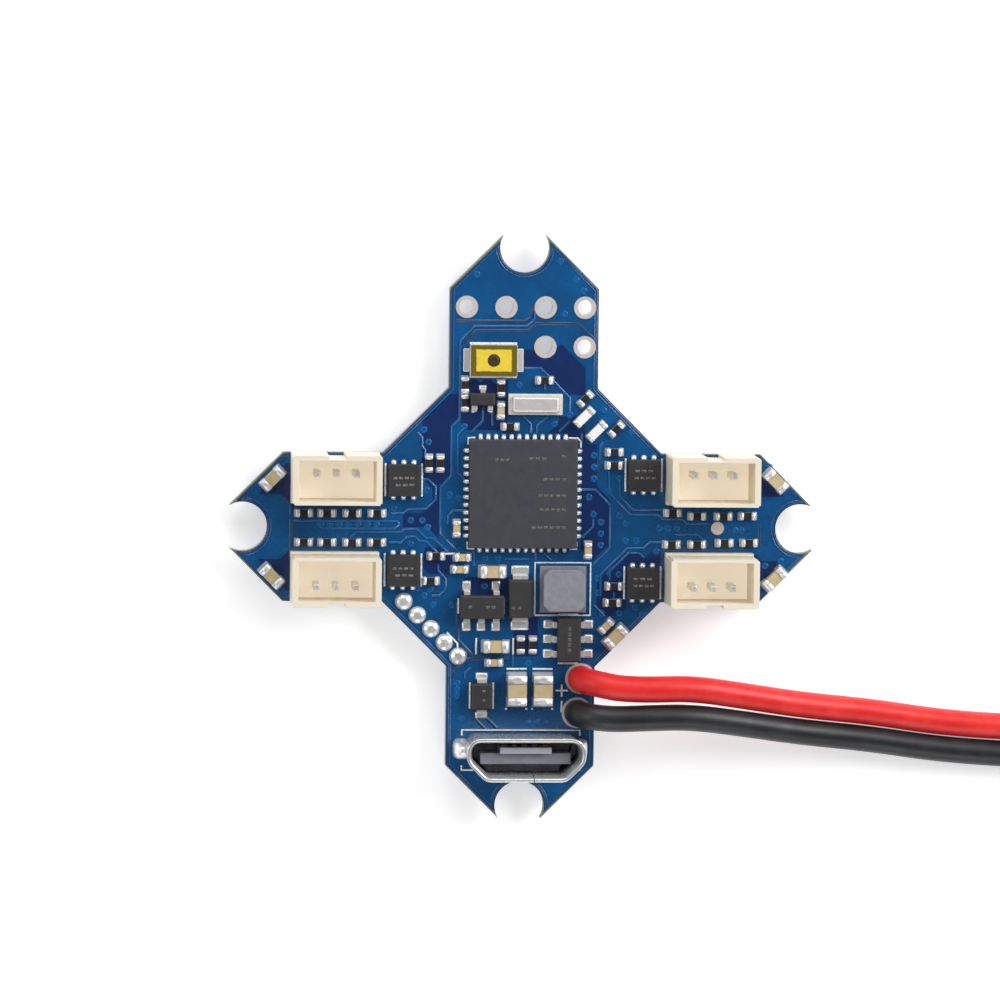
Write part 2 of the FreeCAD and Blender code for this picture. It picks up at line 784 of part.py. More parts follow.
def driver_chips():
    """The four small chips beside the motor sockets."""
    body = chamfered_block(
        "driver", "driver_side", "driver_side", "driver_height", 0.05, "land_height"
    )
    lands = edge_lands(
        "driver_land", "driver_side", "driver_land_pitch", 3, (1, 3),
        "driver_land_width", "driver_land_length",
    )
    inner_end = SOCKETS[1][0] - size("socket_width / 2 + driver_side / 2")
    left = -(inner_end - size("driver_gap_left"))
    right = inner_end - size("driver_gap_right")
    places = on_top((left, 3.06, 0), (right, 3.45, 0), (right, -3.53, 180), (left, -2.76, 180))
    repeat("driver_chips", body, places)
    repeat("driver_lands", lands, places)


def leaded_chip(name, where, turn, case, lead, sides):
    """A moulded chip with bent leads.

    The case is a length, a width and a height; a lead is a width, a reach and a height. The leads
    are placed by their side, +1 or -1, and their steps along it.
    """
    x, y = where
    length, width, height = case
    clear = "0.08"
    body = chamfered_block(name, length, width, f"{height} - {clear}", 0.1, clear)
    place(keep(name, body), x, y, TOP, turn)
    along = FreeCAD.Rotation(UP, turn)
    places = []
    for side, step in sides:
        spot = along * FreeCAD.Vector(step, side * size(width) / 2, 0)
        places.append((x + spot.x, y + spot.y, TOP, turn + 90 * side))
    repeat(f"{name}_leads", bent_lead(f"{name}_lead", *lead), places)


def regulator_and_converter():
    """The five-lead regulator and the six-lead voltage converter, in the same case."""
    pitch = size("small_outline_pitch")
    case = ("small_outline_length", "small_outline_width", "small_outline_height")
    lead = ("small_outline_lead", "small_outline_reach", "small_outline_height / 2")
    three = [(-1, step) for step in (-pitch, 0, pitch)]
    two = [(1, step) for step in (-pitch, pitch)]
    leaded_chip("regulator", (-2.6, -5.07), 0, case, lead, three + two)
    leaded_chip("converter", (3.05, -7.18), 90, case, lead, three + two + [(1, 0)])


def diodes_and_transistor():
    """The two diodes and the small transistor."""
    ends = [(1, 0), (-1, 0)]
    case = ("diode_width", "diode_length", "diode_height")
    leaded_chip("power_diode", (-0.1, -4.53), 0, case, ("1.0", "0.75", "0.45"), ends)
    case = ("little_diode_width", "little_diode_length", "little_diode_height")
    leaded_chip("small_diode", (-2.52, -10.88), 0, case, ("0.62", "0.55", "0.4"), ends)
    case = ("transistor_length", "transistor_width", "transistor_height")
    three = [(1, 0.02), (-1, -0.5), (-1, 0.5)]
    leaded_chip("transistor", (-2.66, 8.3), 0, case, ("0.32", "0.42", "0.3"), three)


def resonator():
    """The ceramic resonator: a base and a metal lid."""
    base = box("resonator_base", "resonator_length", "resonator_width", "resonator_base_height")
    repeat("resonator_base", base, on_top((0.76, 7.98, 0)))
    lid = chamfered_block(
        "lid", "resonator_length - 0.45", "resonator_width - 0.3", "resonator_lid_height", 0.12,
        "resonator_base_height",
    )
    repeat("resonator_lid", lid, on_top((0.76, 7.98, 0)))


def inductor():
    """The power inductor: a dark foot and a ferrite top with cut corners."""
    foot = block("foot", "inductor_side", "inductor_side", "inductor_base_height")
    place(keep("inductor_foot", foot), 2.66, -3.95, TOP)
    top = new_body("inductor_top")
    sketch = sketch_on(top, height="inductor_base_height")
    half = "(inductor_side / 2 - 0.14)"
    cut = f"({half} - inductor_corner)"
    polygon(
        sketch,
        [
            (half, f"-{cut}"), (half, cut), (cut, half), (f"-{cut}", half),
            (f"-{half}", cut), (f"-{half}", f"-{cut}"), (f"-{cut}", f"-{half}"), (cut, f"-{half}"),
        ],
    )
    pad(top, sketch, "inductor_height - inductor_base_height")
    place(keep("inductor_core", top), 2.66, -3.95, TOP)


# ---- boot switch ----------------------------------------------------------------------------


def boot_switch():
    """The boot switch: frame, end terminals, snap dome, film, and the stem that moves."""
    x, y = -1.98, 10.8
    frame = block("switch_frame", "switch_length", "switch_width", "switch_height")
    well = sketch_on(frame, height="switch_height")
    rectangle(well, "switch_length - 2 * switch_wall", "switch_width - 2 * switch_wall")
    pocket(frame, well, "switch_height - switch_floor")
    place(keep("switch_frame", frame), x, y, TOP)

    terminal = ("terminal_length", "terminal_width", "terminal_height")
    terminals = [
        box(f"switch_end_{side}", *terminal, f"{side} * (switch_length + terminal_length) / 2")
        for side in SIDES
    ]
    place(keep("switch_terminals", together("switch_ends", terminals)), x, y, TOP)

    dome = turned(
        "dome",
        [
            ("0", "switch_floor + dome_height"),
            ("dome_radius * 0.85", "switch_floor + dome_height / 3"),
            ("dome_radius", "switch_floor"),
            ("dome_radius * 0.85", "switch_floor"),
            ("0", "switch_floor + dome_height / 2"),
        ],
    )
    place(keep("switch_dome", dome), x, y, TOP)

    film = new_body("film")
    outline = sketch_on(film, height="switch_height")
    rectangle(outline, "switch_length - 2 * film_margin", "switch_width - 2 * film_margin")
    circle(outline, "stem_radius + stem_gap")
    pad(film, outline, "film_height")
    place(keep("switch_film", film), x, y, TOP)

    foot = "(switch_floor + dome_height + stem_travel + flange_gap)"
    stem = turned(
        "stem",
        [
            ("0", foot),
            ("stem_flange", foot),
            ("stem_flange", "switch_height - flange_gap"),
            ("stem_radius", "switch_height - flange_gap"),
            ("stem_radius", "switch_height + film_height + stem_rise * 0.6"),
            ("stem_radius * 0.8", "switch_height + film_height + stem_rise"),
            ("0", "switch_height + film_height + stem_rise"),
        ],
    )
    place(keep("switch_stem", stem), x, y, TOP)


# ---- two-ended parts ------------------------------------------------------------------------


def small_parts():
    """Capacitors, resistors and indicator lights on the upper face."""
    two_ended("large", "large_capacitors", "large_capacitor_ends", on_top(
        (-0.26, -10.48, 90), (1.42, -10.48, 90),
    ))
    capacitors = (
        on_arm(-1, (1.92, 3.13, 45), (1.9, -3.16, -45))
        + on_arm(1, (1.66, 3.12, -45), (1.66, -3.22, 45))
        + on_top((-1.9, -2.83, 0), (-1.65, -7.67, 0), (6.1, -7.0, 45))
    )
    two_ended("medium", "medium_capacitors", "medium_capacitor_ends", capacitors)
    two_ended("small", "small_capacitors", "small_capacitor_ends", on_top(
        (-3.86, -1.92, 0), (-4.02, -2.7, 0), (-1.74, -8.73, 0), (-4.24, -0.05, 90),
        (4.26, -1.42, 90), (5.5, -6.34, 45), (-1.47, 7.56, 90),
    ))
    left_rows = (3.95, 5.44, 7.05, 8.65)
    resistors = (
        on_arm(-1, *[(inward, 0.89, 0) for inward in left_rows])
        + on_arm(-1, *[(inward, -0.99, 0) for inward in left_rows])
        + on_arm(1, (8.3, 1.0, 0), (6.72, 0.8, 0), (5.01, 0.8, 0), (3.44, 0.82, 0))
        + on_arm(1, (8.35, -1.04, 0), (6.71, -1.03, 0), (4.92, -0.93, 0), (3.32, -0.92, 0))
        + on_top(
            (-3.79, 9.2, 90), (-3.78, 8.06, 90), (-1.46, 9.01, 90), (1.34, 9.52, 0),
            (-0.86, 6.52, 0), (3.99, 8.33, 45), (6.02, 6.39, 45), (-6.06, 4.14, 90),
            (-5.33, 4.14, 90), (5.9, 4.91, 0), (5.9, 4.06, 0), (-5.55, -1.86, 0),
            (-5.9, -3.46, 0), (5.97, -3.76, 0), (5.88, -4.83, 0), (-0.01, -7.58, 90),
            (0.77, -7.58, 90),
        )
    )
    two_ended("resistor", "resistors", "resistor_ends", resistors)
    lights = on_top((3.92, 7.19, 45), (4.74, 6.28, 45))
    two_ended("light", "indicator_lights", "indicator_light_ends", lights)


# ---- the underside --------------------------------------------------------------------------


def underside():
    """Power transistors, motor controllers, motion sensor and capacitors under the board."""
    mosfet = chamfered_block(
        "mosfet", "mosfet_length", "mosfet_width", "mosfet_height - land_height", 0.05, "land_height"
    )
    mosfet_places = under((7.7, 1.3), (5.2, 3.8), (2.0, 6.6))
    repeat("power_transistors", mosfet, mosfet_places, flipped=True)
    finger = ("mosfet_land_length", "mosfet_land_width", "land_height")
    fingers = [
        box(f"finger_{side}_{i}", *finger, f"{side} * mosfet_length / 2", f"{i} * mosfet_land_pitch")
        for side in SIDES
        for i in (-1, 0, 1)
    ]
    repeat("power_transistor_lands", together("fingers", fingers), mosfet_places, flipped=True)
    controller = chamfered_block(
        "controller", "controller_side", "controller_side", "controller_height - land_height", 0.05,
        "land_height",
    )
    controller_places = under((1.75, 3.1))
    repeat("motor_controllers", controller, controller_places, flipped=True)
    land = ("processor_land_width", "under_land_length")
    pitch = "processor_land_pitch"
    lands = edge_lands("controller_land", "controller_side", pitch, 5, range(4), *land)
    sensor_lands = edge_lands("gyro_land", "gyro_length", pitch, 4, (0, 2), *land)
    sensor = chamfered_block(
        "gyro", "gyro_length", "gyro_width", "gyro_height - land_height", 0.05, "land_height"
    )
    sensor_places = [(0, 0, REST, 0)]
    repeat("motion_sensor", sensor, sensor_places, flipped=True)
    all_lands = copies_of("controller_lands", lands, controller_places, flipped=True)
    all_lands += copies_of("sensor_lands", sensor_lands, sensor_places, flipped=True)
    keep("underside_chip_lands", together("underside_chip_lands", all_lands))
    places = under((10.6, 0.75), (9.4, 3.6))
    two_ended("small", "underside_capacitors", "underside_capacitor_ends", places, flipped=True)


# ---- battery leads and plug -----------------------------------------------------------------

PLUG_X = 64.0
PLUG_Y = -14.7


def lead_route(colour):
    """The lead's points: up out of its ring, over in a tight bend, down, and along the table."""
    x, y = LEAD_STARTS[colour]
    rise = TOP + size("land_height")
    low = size("lead_diameter / 2")
    middle = size("plug_height / 2")
    if colour == "red":
        points = [
            (x, y, rise), (x, y, rise + 0.9), (x + 0.46, y - 0.05, rise + 1.72),
            (x + 1.27, y - 0.2, rise + 2.16), (x + 2.4, y - 0.42, rise + 2.2),
            (8.3, -10.25, rise + 2.1), (11.0, -10.2, rise + 1.75), (14.4, -10.75, rise + 1.0),
            (18.4, -11.45, low + 1.2), (23.0, -11.95, low + 0.4), (27.8, -12.7, low + 0.08),
            (32.6, -13.0, low), (38.0, -13.2, low + 0.02), (43.8, -13.85, low + 0.05),
            (49.6, -14.2, low + 0.25), (54.8, -13.95, low + 0.8), (59.6, PLUG_Y + 1.0, middle),
            (PLUG_X, PLUG_Y + 1.0, middle),
        ]
    else:
        points = [
            (x, y, rise), (x, y, rise + 0.9), (x + 0.46, y - 0.02, rise + 1.72),
            (x + 1.27, y - 0.1, rise + 2.16), (x + 2.4, y - 0.17, rise + 2.2),
            (8.2, -12.08, rise + 2.1), (10.9, -12.05, rise + 1.75), (14.3, -12.55, rise + 1.0),
            (18.2, -13.2, low + 1.2), (22.8, -13.72, low + 0.4), (27.6, -14.45, low + 0.08),
            (32.4, -14.78, low), (37.8, -15.0, low + 0.02), (43.6, -15.65, low + 0.05),
            (49.4, -16.02, low + 0.25), (54.7, -15.88, low + 0.8), (59.6, PLUG_Y - 1.0, middle),
            (PLUG_X, PLUG_Y - 1.0, middle),
        ]
    return [FreeCAD.Vector(*point) for point in points]


def lead_path(points):
    """Straight runs joined by tangent arcs, and the arcs' radii."""
    edges, radii = [], []
    start = points[0]
    for before, corner, after in zip(points, points[1:], points[2:]):
        back, ahead = before - corner, after - corner
        trim = 0.45 * min(back.Length, ahead.Length)
        half_turn = (math.pi - back.getAngle(ahead)) / 2
        radius = trim / math.tan(half_turn)
        back.normalize()
        ahead.normalize()
        inward = (back + ahead).normalize()
        first, last = corner + back * trim, corner + ahead * trim
        middle = corner + inward * (radius / math.cos(half_turn) - radius)
        edges.append(Part.LineSegment(start, first).toShape())
        edges.append(Part.Arc(first, middle, last).toShape())
        radii.append(round(radius, 1))
        start = last
    edges.append(Part.LineSegment(start, points[-1]).toShape())
    return Part.Wire(edges), radii


def battery_lead(colour):
    """One soft insulated lead, as a round tube along its route."""
    points = lead_route(colour)
    path, radii = lead_path(points)
    radius = size("lead_diameter / 2")
    section = Part.Wire(Part.makeCircle(radius, points[0], points[1] - points[0]))
    solid = Part.Solid(path.makePipeShell([section], True, True))
    lead = document.addObject("Part::Feature", f"{colour}_lead")
    lead.Shape = solid
    keep(f"{colour}_lead", lead)
    full = math.pi * radius**2 * path.Length
    share = solid.Volume / full
    print(f"{colour} lead: {path.Length:.2f} mm, radii {radii}, volume {share:.4f} of full")


def plug():
    """The two-way plug that the leads end in, and its two contacts."""
    body = new_body("plug")
    outline = sketch_on(body, "YZ_Plane")
    rectangle(outline, "plug_width", "plug_height", "0", "plug_height / 2")
    pad(body, outline, "plug_length")
    mouth = sketch_on(body, "YZ_Plane", "plug_length")
    rectangle(
        mouth, "plug_width - 2 * plug_wall", "plug_height - 2 * plug_wall", "0", "plug_height / 2"
    )
    pocket(body, mouth, "plug_length * 0.7")
    place(keep("lead_plug", body), PLUG_X, PLUG_Y, 0)
    pin = ("plug_length * 0.6", "contact_width", "contact_width")
    middle = ("plug_length * 0.6", "(plug_height - contact_width) / 2")
    pins = [box(f"plug_pin_{side}", *pin, middle[0], f"{side}", middle[1]) for side in SIDES]
    place(keep("lead_plug_contacts", together("plug_pins", pins)), PLUG_X, PLUG_Y, 0)


# ---- all of it ------------------------------------------------------------------------------


def build():
    """Make every sub-part, check it, and write it to its file."""
    circuit_board()
    plated_ring("plated_rings", "hole_spool", "hole_radius", "hole_ring_radius", hole_places())
    plated_ring("lead_rings", "lead_spool", "lead_hole_radius", "lead_ring_radius", lead_places())
    filled_joints()
    hidden_joints()
    test_pad()
    motor_sockets()
    usb_socket()
    processor()
    driver_chips()
    regulator_and_converter()
    diodes_and_transistor()
    resonator()
    inductor()
    boot_switch()
    small_parts()
    underside()
    battery_lead("red")
    battery_lead("black")
    plug()
    document.recompute()
    for thing in document.Objects:
        if "Invalid" in thing.State or "Error" in thing.State:
            raise RuntimeError(f"{thing.Name} ({thing.Label}) failed: {thing.State}")
    os.makedirs("parts", exist_ok=True)
    for name, thing in pieces.items():
        if thing.Shape.isNull() or not thing.Shape.isValid():
            raise RuntimeError(f"{name} has no valid shape")
    for name, thing in pieces.items():
        thing.Shape.exportStep(f"parts/{name}.step")
    print(f"{len(pieces)} sub-parts written")


build()
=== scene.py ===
"""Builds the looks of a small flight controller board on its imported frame.

Every length is in millimetres until it reaches Blender, which works in metres.
"""

import math
from functools import partial

import bmesh
import bpy
from mathutils import Matrix, Vector


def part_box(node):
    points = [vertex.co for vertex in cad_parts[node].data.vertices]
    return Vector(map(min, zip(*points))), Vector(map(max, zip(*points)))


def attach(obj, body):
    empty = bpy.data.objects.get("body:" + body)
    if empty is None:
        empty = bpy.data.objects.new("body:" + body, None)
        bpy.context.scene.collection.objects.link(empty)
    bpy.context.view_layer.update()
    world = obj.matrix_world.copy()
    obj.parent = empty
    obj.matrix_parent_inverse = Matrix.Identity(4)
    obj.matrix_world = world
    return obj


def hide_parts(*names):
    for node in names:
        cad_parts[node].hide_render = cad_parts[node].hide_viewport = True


bl_info = {
    "name": "Flight Controller Board",
    "version": (1, 0, 0),
    "blender": (4, 5, 0),
    "location": "View3D > Sidebar > Board",
    "description": "Finishes a small flight controller board and the stage it lies on",
    "category": "Object",
}

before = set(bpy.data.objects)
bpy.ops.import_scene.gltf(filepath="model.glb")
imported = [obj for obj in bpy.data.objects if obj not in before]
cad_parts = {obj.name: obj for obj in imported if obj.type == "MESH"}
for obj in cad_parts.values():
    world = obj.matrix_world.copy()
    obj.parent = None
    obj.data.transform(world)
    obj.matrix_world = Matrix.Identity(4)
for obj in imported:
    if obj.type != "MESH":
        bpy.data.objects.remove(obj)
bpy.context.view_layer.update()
MM = 0.001
ROOT = "board"
BOARD_LOW, BOARD_HIGH = (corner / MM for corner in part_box("circuit_board"))
TOP = BOARD_HIGH.z
UNDER = BOARD_LOW.z


def tint(code):
    """A colour written as six hexadecimal digits, as linear red, green, blue and alpha."""
    parts = [int(code[i : i + 2], 16) / 255 for i in (0, 2, 4)]
    return tuple((p + 0.055) ** 2.4 / 1.055**2.4 if p > 0.04 else p / 12.92 for p in parts) + (1.0,)


# ---- settings --------------------------------------------------------------------------------


def colour_setting(name, description, code):
    return bpy.props.FloatVectorProperty(
        name=name, description=description, default=tint(code)[:3], subtype="COLOR", size=3, min=0, max=1
    )


def length_setting(name, description, default):
    return bpy.props.FloatProperty(
        name=name, description=description, default=default * MM, min=0, unit="LENGTH", subtype="DISTANCE"
    )


class BoardColours(bpy.types.PropertyGroup):
    """The colours of the board's finishes."""

    mask: colour_setting("Solder mask", "Mask where copper lies under it", "064E84")
    bare_mask: colour_setting("Bare mask", "Mask where no copper lies under it", "0A285C")
    nylon: colour_setting("Motor sockets", "Nylon of the motor sockets", "E9DFCB")
    chip: colour_setting("Chips", "Moulded cases of the chips", "2C2B2D")
    red: colour_setting("Red lead", "Silicone of the red lead", "E01B1E")
    black: colour_setting("Black lead", "Silicone of the black lead", "17181B")
    film: colour_setting("Switch film", "Film over the boot switch", "E6CA3E")
    floor: colour_setting("Floor", "Floor that the board lies on", "EFEFF1")


class BoardSizes(bpy.types.PropertyGroup):
    """The fine sizes that a maker may want to change."""

    edge: length_setting("Edge rounding", "Rounding on the edges of the cases", 0.05)
    trace: length_setting("Trace width", "Width of a copper trace", 0.15)
    gap: length_setting("Trace gap", "Width of the gap beside a trace", 0.4)
    silk: length_setting("Print width", "Width of a printed white line", 0.12)
    via: length_setting("Via radius", "Radius of a covered via", 0.23)
    lead: length_setting("Lead diameter", "Outer diameter of a battery lead", 1.7)


def colours():
    return bpy.context.scene.board_colours


def sizes():
    return bpy.context.scene.board_sizes


# ---- shader maths ----------------------------------------------------------------------------


class Reading:
    """A socket's value, on which sums are written as plain arithmetic."""

    def __init__(self, finish, socket):
        self.finish = finish
        self.socket = socket

    def sum(self, operation, *values):
        return self.finish.node("ShaderNodeMath", {"operation": operation}, dict(enumerate(values)))

    def __add__(self, other):
        return self.sum("ADD", self, other)

    def __sub__(self, other):
        return self.sum("SUBTRACT", self, other)

    def __rsub__(self, other):
        return self.sum("SUBTRACT", other, self)

    def __mul__(self, other):
        return self.sum("MULTIPLY", self, other)

    def __truediv__(self, other):
        return self.sum("DIVIDE", self, other)

    def __abs__(self):
        return self.sum("ABSOLUTE", self)

    __radd__ = __add__
    __rmul__ = __mul__

    def above(self, edge):
        return self.sum("GREATER_THAN", self, edge)

    def below(self, edge):
        return self.sum("LESS_THAN", self, edge)

    def rise(self, start, end):
        """0 up to start and 1 from end, smooth in between."""
        return self.finish.node(
            "ShaderNodeMapRange",
            {"interpolation_type": "SMOOTHSTEP"},
            {0: self, 1: start, 2: end, 3: 0, 4: 1},
        )

    def spread(self, low, high):
        """A value from 0 to 1 spread from low to high."""
        return self * (high - low) + low


class Nodes:
    """A tree of nodes."""

    def __init__(self, tree):
        self.tree = tree

    def fill(self, socket, value):
        if isinstance(value, Reading):
            value = value.socket
        if isinstance(value, bpy.types.NodeSocket):
            self.tree.links.new(value, socket)
        else:
            socket.default_value = value

    def add(self, kind, settings=(), values=()):
        """One node: its settings first, then the values and links of its sockets."""
        node = self.tree.nodes.new(kind)
        for label, value in dict(settings).items():
            setattr(node, label, value)
        for label, value in dict(values).items():
            self.fill(node.inputs[label], value)
        return node

    def node(self, kind, settings=(), values=(), output=0):
        """The value of one output of a new node."""
        return Reading(self, self.add(kind, settings, values).outputs[output])


class Finish(Nodes):
    """A material with a principled shader, and the nodes that vary it. Places are in millimetres."""

    def __init__(self, name, colour, roughness, **constants):
        self.material = bpy.data.materials.new(name)
        self.material.use_nodes = True
        super().__init__(self.material.node_tree)
        self.shader = self.tree.nodes["Principled BSDF"]
        self.material.diffuse_color = tuple(colour[:3]) + (1.0,)
        self.colour = tuple(colour[:3]) + (1.0,)
        self.put("Base Color", self.colour)
        self.put("Roughness", roughness)
        for label, value in constants.items():
            self.put(label.replace("_", " ").title().replace("Ior", "IOR"), value)

    def put(self, label, value):
        """Sets the shader's own socket, or links what varies to it."""
        self.fill(self.shader.inputs[label], value)
        return self

    def where(self):
        """The place on the piece, as a vector in metres."""
        return self.node("ShaderNodeTexCoord", output="Object")

    def axes(self):
        """The place on the piece along X, Y and Z, in millimetres."""
        place = self.where()
        split = [self.node("ShaderNodeSeparateXYZ", (), {0: place}, output=i) for i in range(3)]
        return [axis * 1000 for axis in split]

    def facing(self):
        """How far the surface faces along X, Y and Z."""
        normal = self.node("ShaderNodeNewGeometry", output="Normal")
        return [self.node("ShaderNodeSeparateXYZ", (), {0: normal}, output=i) for i in range(3)]

    def noise(self, grain, detail=2.0, roughness=0.5, stretch=(1, 1, 1)):
        """Cloudy noise from 0 to 1 whose lumps are about one grain across."""
        place = self.where()
        if stretch != (1, 1, 1):
            place = self.node("ShaderNodeMapping", (), {"Vector": place, "Scale": stretch})
        return self.node(
            "ShaderNodeTexNoise",
            (),
            {"Vector": place, "Scale": 1 / (grain * MM), "Detail": detail, "Roughness": roughness},
        )

    def cells(self, grain):
        """The distance to the nearest of many scattered points, 0 at each."""
        return self.node(
            "ShaderNodeTexVoronoi", {"feature": "F1"}, {"Vector": self.where(), "Scale": 1 / (grain * MM)}
        )

    def mix(self, share, first, second):
        """A colour between two, by a share from 0 to 1."""
        pair = [c if isinstance(c, Reading) else tuple(c[:3]) + (1.0,) for c in (first, second)]
        return self.node(
            "ShaderNodeMix", {"data_type": "RGBA"}, {0: share, 6: pair[0], 7: pair[1]}, output=2
        )

    def relief(self, height, depth, strength=1.0):
        """Small bumps: a height from 0 to 1, and the depth that 1 stands for in millimetres."""
        bump = self.node(
            "ShaderNodeBump", (), {"Strength": strength, "Distance": depth * MM, "Height": height}
        )
        return self.put("Normal", bump)


def scaled(colour, factor):
    return tuple(min(1.0, c * factor) for c in colour[:3]) + (1.0,)


FINISHES = {}


def finish(name):
    """The material of that name, made the first time it is asked for."""
    if name not in FINISHES:
        FINISHES[name] = MAKERS[name]().material
    return FINISHES[name]


RIM_START, RIM_END = 19.98, 20.06


def board_finish():
    """Solder mask over copper on both faces, and raw glass cloth on the cut sides."""
    mask = colours().mask
    f = Finish("solder_mask", mask, 0.24, coat_weight=0.35, coat_roughness=0.12)
    x, y, _ = f.axes()
    up = abs(f.facing()[2])
    cloud = f.noise(2.2, 3)
    weave = f.cells(0.32)
    face = f.mix(cloud.rise(0.35, 0.75), scaled(mask, 0.86), scaled(mask, 1.12))
    rim = (abs(x) + abs(y)).rise(RIM_START, RIM_END)
    rim = rim * up.above(0.5)
    glass = f.mix(f.noise(0.18, 3, 0.7, (1, 1, 4)), tint("6E6C50"), tint("A8A282"))
    edge = f.mix(f.noise(0.5, 3), tint("56604F"), tint("8F8E78"))
    face = f.mix(rim, face, edge)
    f.put("Base Color", f.mix(up.above(0.5), glass, face))
    dull = (1 - up.above(0.5)) + rim
    f.put("Roughness", f.noise(0.6).spread(0.2, 0.34) + dull * 0.35)
    f.put("Coat Weight", (1 - dull) * 0.35)
    return f.relief(f.noise(0.9, 3) * 0.6 + weave * 0.4, 0.012)


def trace_finish():
    """Mask where a copper trace raises it."""
    mask = colours().mask
    f = Finish("mask_over_trace", scaled(mask, 1.2), 0.2, coat_weight=0.4, coat_roughness=0.1)
    f.put("Base Color", f.mix(f.noise(1.1, 3), scaled(mask, 1.1), scaled(mask, 1.6)))
    f.put("Roughness", f.noise(0.5).spread(0.16, 0.3))
    return f.relief(f.noise(0.4), 0.006)


def bare_finish():
    """Mask where the copper is cut away, darker and lower."""
    bare = colours().bare_mask
    f = Finish("mask_over_glass", bare, 0.3, coat_weight=0.3, coat_roughness=0.15)
    f.put("Base Color", f.mix(f.noise(1.4, 3), scaled(bare, 0.8), scaled(bare, 1.2)))
    f.put("Roughness", f.noise(0.5).spread(0.24, 0.38))
    return f.relief(f.cells(0.3), 0.008)


def gap_finish():
    """Mask in the narrow gaps beside traces, a shade darker than over the copper."""
    mask = colours().mask
    f = Finish("mask_in_gap", scaled(mask, 0.7), 0.3, coat_weight=0.3, coat_roughness=0.15)
    f.put("Base Color", f.mix(f.noise(1.2, 3), scaled(mask, 0.5), scaled(mask, 0.7)))
    f.put("Roughness", f.noise(0.5).spread(0.24, 0.38))
    return f


SOCKET_X, SOCKET_Y = 12.1, 3.2
WELL_HALF_X, WELL_HALF_Y = 2.44, 1.28


def nylon_finish():
    """Ivory nylon of the motor sockets. Down inside them a painted tan tint and a painted glow stand in for
    the light that comes through the nylon and the shade in the wells.
    """
    nylon = colours().nylon
    # The emission strength feeds a painted glow down in the wells, standing in for light through the nylon;
    # the sockets are no lamp.
    f = Finish("socket_nylon", nylon, 0.42, emission_strength=0.45)
    x, y, z = f.axes()
    across = abs(abs(x) - SOCKET_X)
    along = abs(abs(y) - SOCKET_Y)
    well = across.below(WELL_HALF_X) * along.below(WELL_HALF_Y)
    deep = 1 - z.rise(TOP + 0.6, TOP + 4.0)
    # Painted tan tint, strongest low in the wells, standing in for light through the nylon and the shade
    # inside them.
    painted_light_tint = f.mix(deep, nylon, tint("F0E2C6"))
    # Painted glow inside the wells, fading out towards their tops.
    painted_glow_share = well * (1 - z.rise(TOP + 3.3, TOP + 4.15))
    f.put("Emission Color", f.mix(painted_glow_share, tint("000000"), tint("FFF4E2")))
    cloud = f.mix(f.noise(1.3, 3), scaled(nylon, 0.93), scaled(nylon, 1.03))
    f.put("Base Color", f.mix(well, cloud, painted_light_tint))
    f.put("Roughness", f.noise(0.3, 2).spread(0.34, 0.52))
    return f.relief(f.noise(0.16, 3), 0.006)


def moulding_finish():
    """Black moulding inside the USB shell, painted grey to stand in for the light that falls on it, with a
    painted highlight on its top.
    """
    f = Finish("grey_moulding", tint("2A2A2D"), 0.4)
    z = f.axes()[2]
    # Painted light: the black moulding is given a grey as if lit.
    painted_lit_grey = f.mix(f.noise(0.5, 3), tint("74747C"), tint("92929C"))
    # Painted highlight: everything above TOP + 4.25 mm is a lighter grey.
    f.put("Base Color", f.mix(z.above(TOP + 4.25), painted_lit_grey, tint("A6A6B0")))
    f.put("Roughness", f.noise(0.2).spread(0.3, 0.55))
    return f.relief(f.noise(0.08, 3), 0.01)


def drifting(
    name, colour, roughness, tints, cloud, sheen, gloss, bumps=(), depth=0.0, edge=(), **constants
):
    """A finish that drifts between two tints. Cloud, sheen and bumps each hold what a noise takes."""
    f = Finish(name, tint(colour), roughness, **constants)
    share = f.noise(*cloud)
    if edge:
        share = share.rise(*edge)
    f.put("Base Color", f.mix(share, tint(tints[0]), tint(tints[1])))
    f.put("Roughness", f.noise(*sheen).spread(*gloss))
    return f.relief(f.noise(*bumps), depth) if bumps else f


def brushed(name, low, high, roughness, metallic=1.0, grain=0.5, lift=0.008):
    """Bright metal with fine drawn streaks."""
    low, high = tint(low), tint(high)
    f = Finish(name, high, roughness, metallic=metallic)
    streak = f.noise(grain, 3, 0.6, (1, 8, 1))
    f.put("Base Color", f.mix(streak, low, high))
    f.put("Roughness", f.noise(0.3, 3).spread(roughness * 0.7, roughness * 1.4))
    return f.relief(streak, lift)


def shell_finish():
    """Plated steel of the USB shell, with the seam of its folded sheet."""
    f = Finish("shell_steel", tint("C9CBCC"), 0.24, metallic=0.7)
    x, y, _ = f.axes()
    low, high = (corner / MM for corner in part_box("usb_shell"))
    middle = (low.x + high.x) / 2
    seam = abs(x - (middle + 0.5)).below(0.03) * y.below(low.y + 0.5)
    streak = f.noise(1.4, 2, 0.5, (4, 4, 1))
    steel = f.mix(streak, tint("C6C8CA"), tint("EEEFF0"))
    f.put("Base Color", f.mix(seam, steel, tint("2A2A2A")))
    f.put("Roughness", f.noise(0.8, 2).spread(0.2, 0.32))
    return f.relief(streak * 0.1 + (1 - seam) * 0.9, 0.02)


def case_finish(name, colour, grain=0.09):
    """Moulded chip case, matt with a fine grain."""
    f = Finish(name, colour, 0.55)
    f.put("Base Color", f.mix(f.noise(0.7, 4), scaled(colour, 0.82), scaled(colour, 1.3)))
    f.put("Roughness", f.noise(0.25, 3).spread(0.42, 0.66))
    return f.relief(f.noise(grain, 3, 0.7), 0.012)


def chip_finish():
    return case_finish("chip_case", colours().chip)


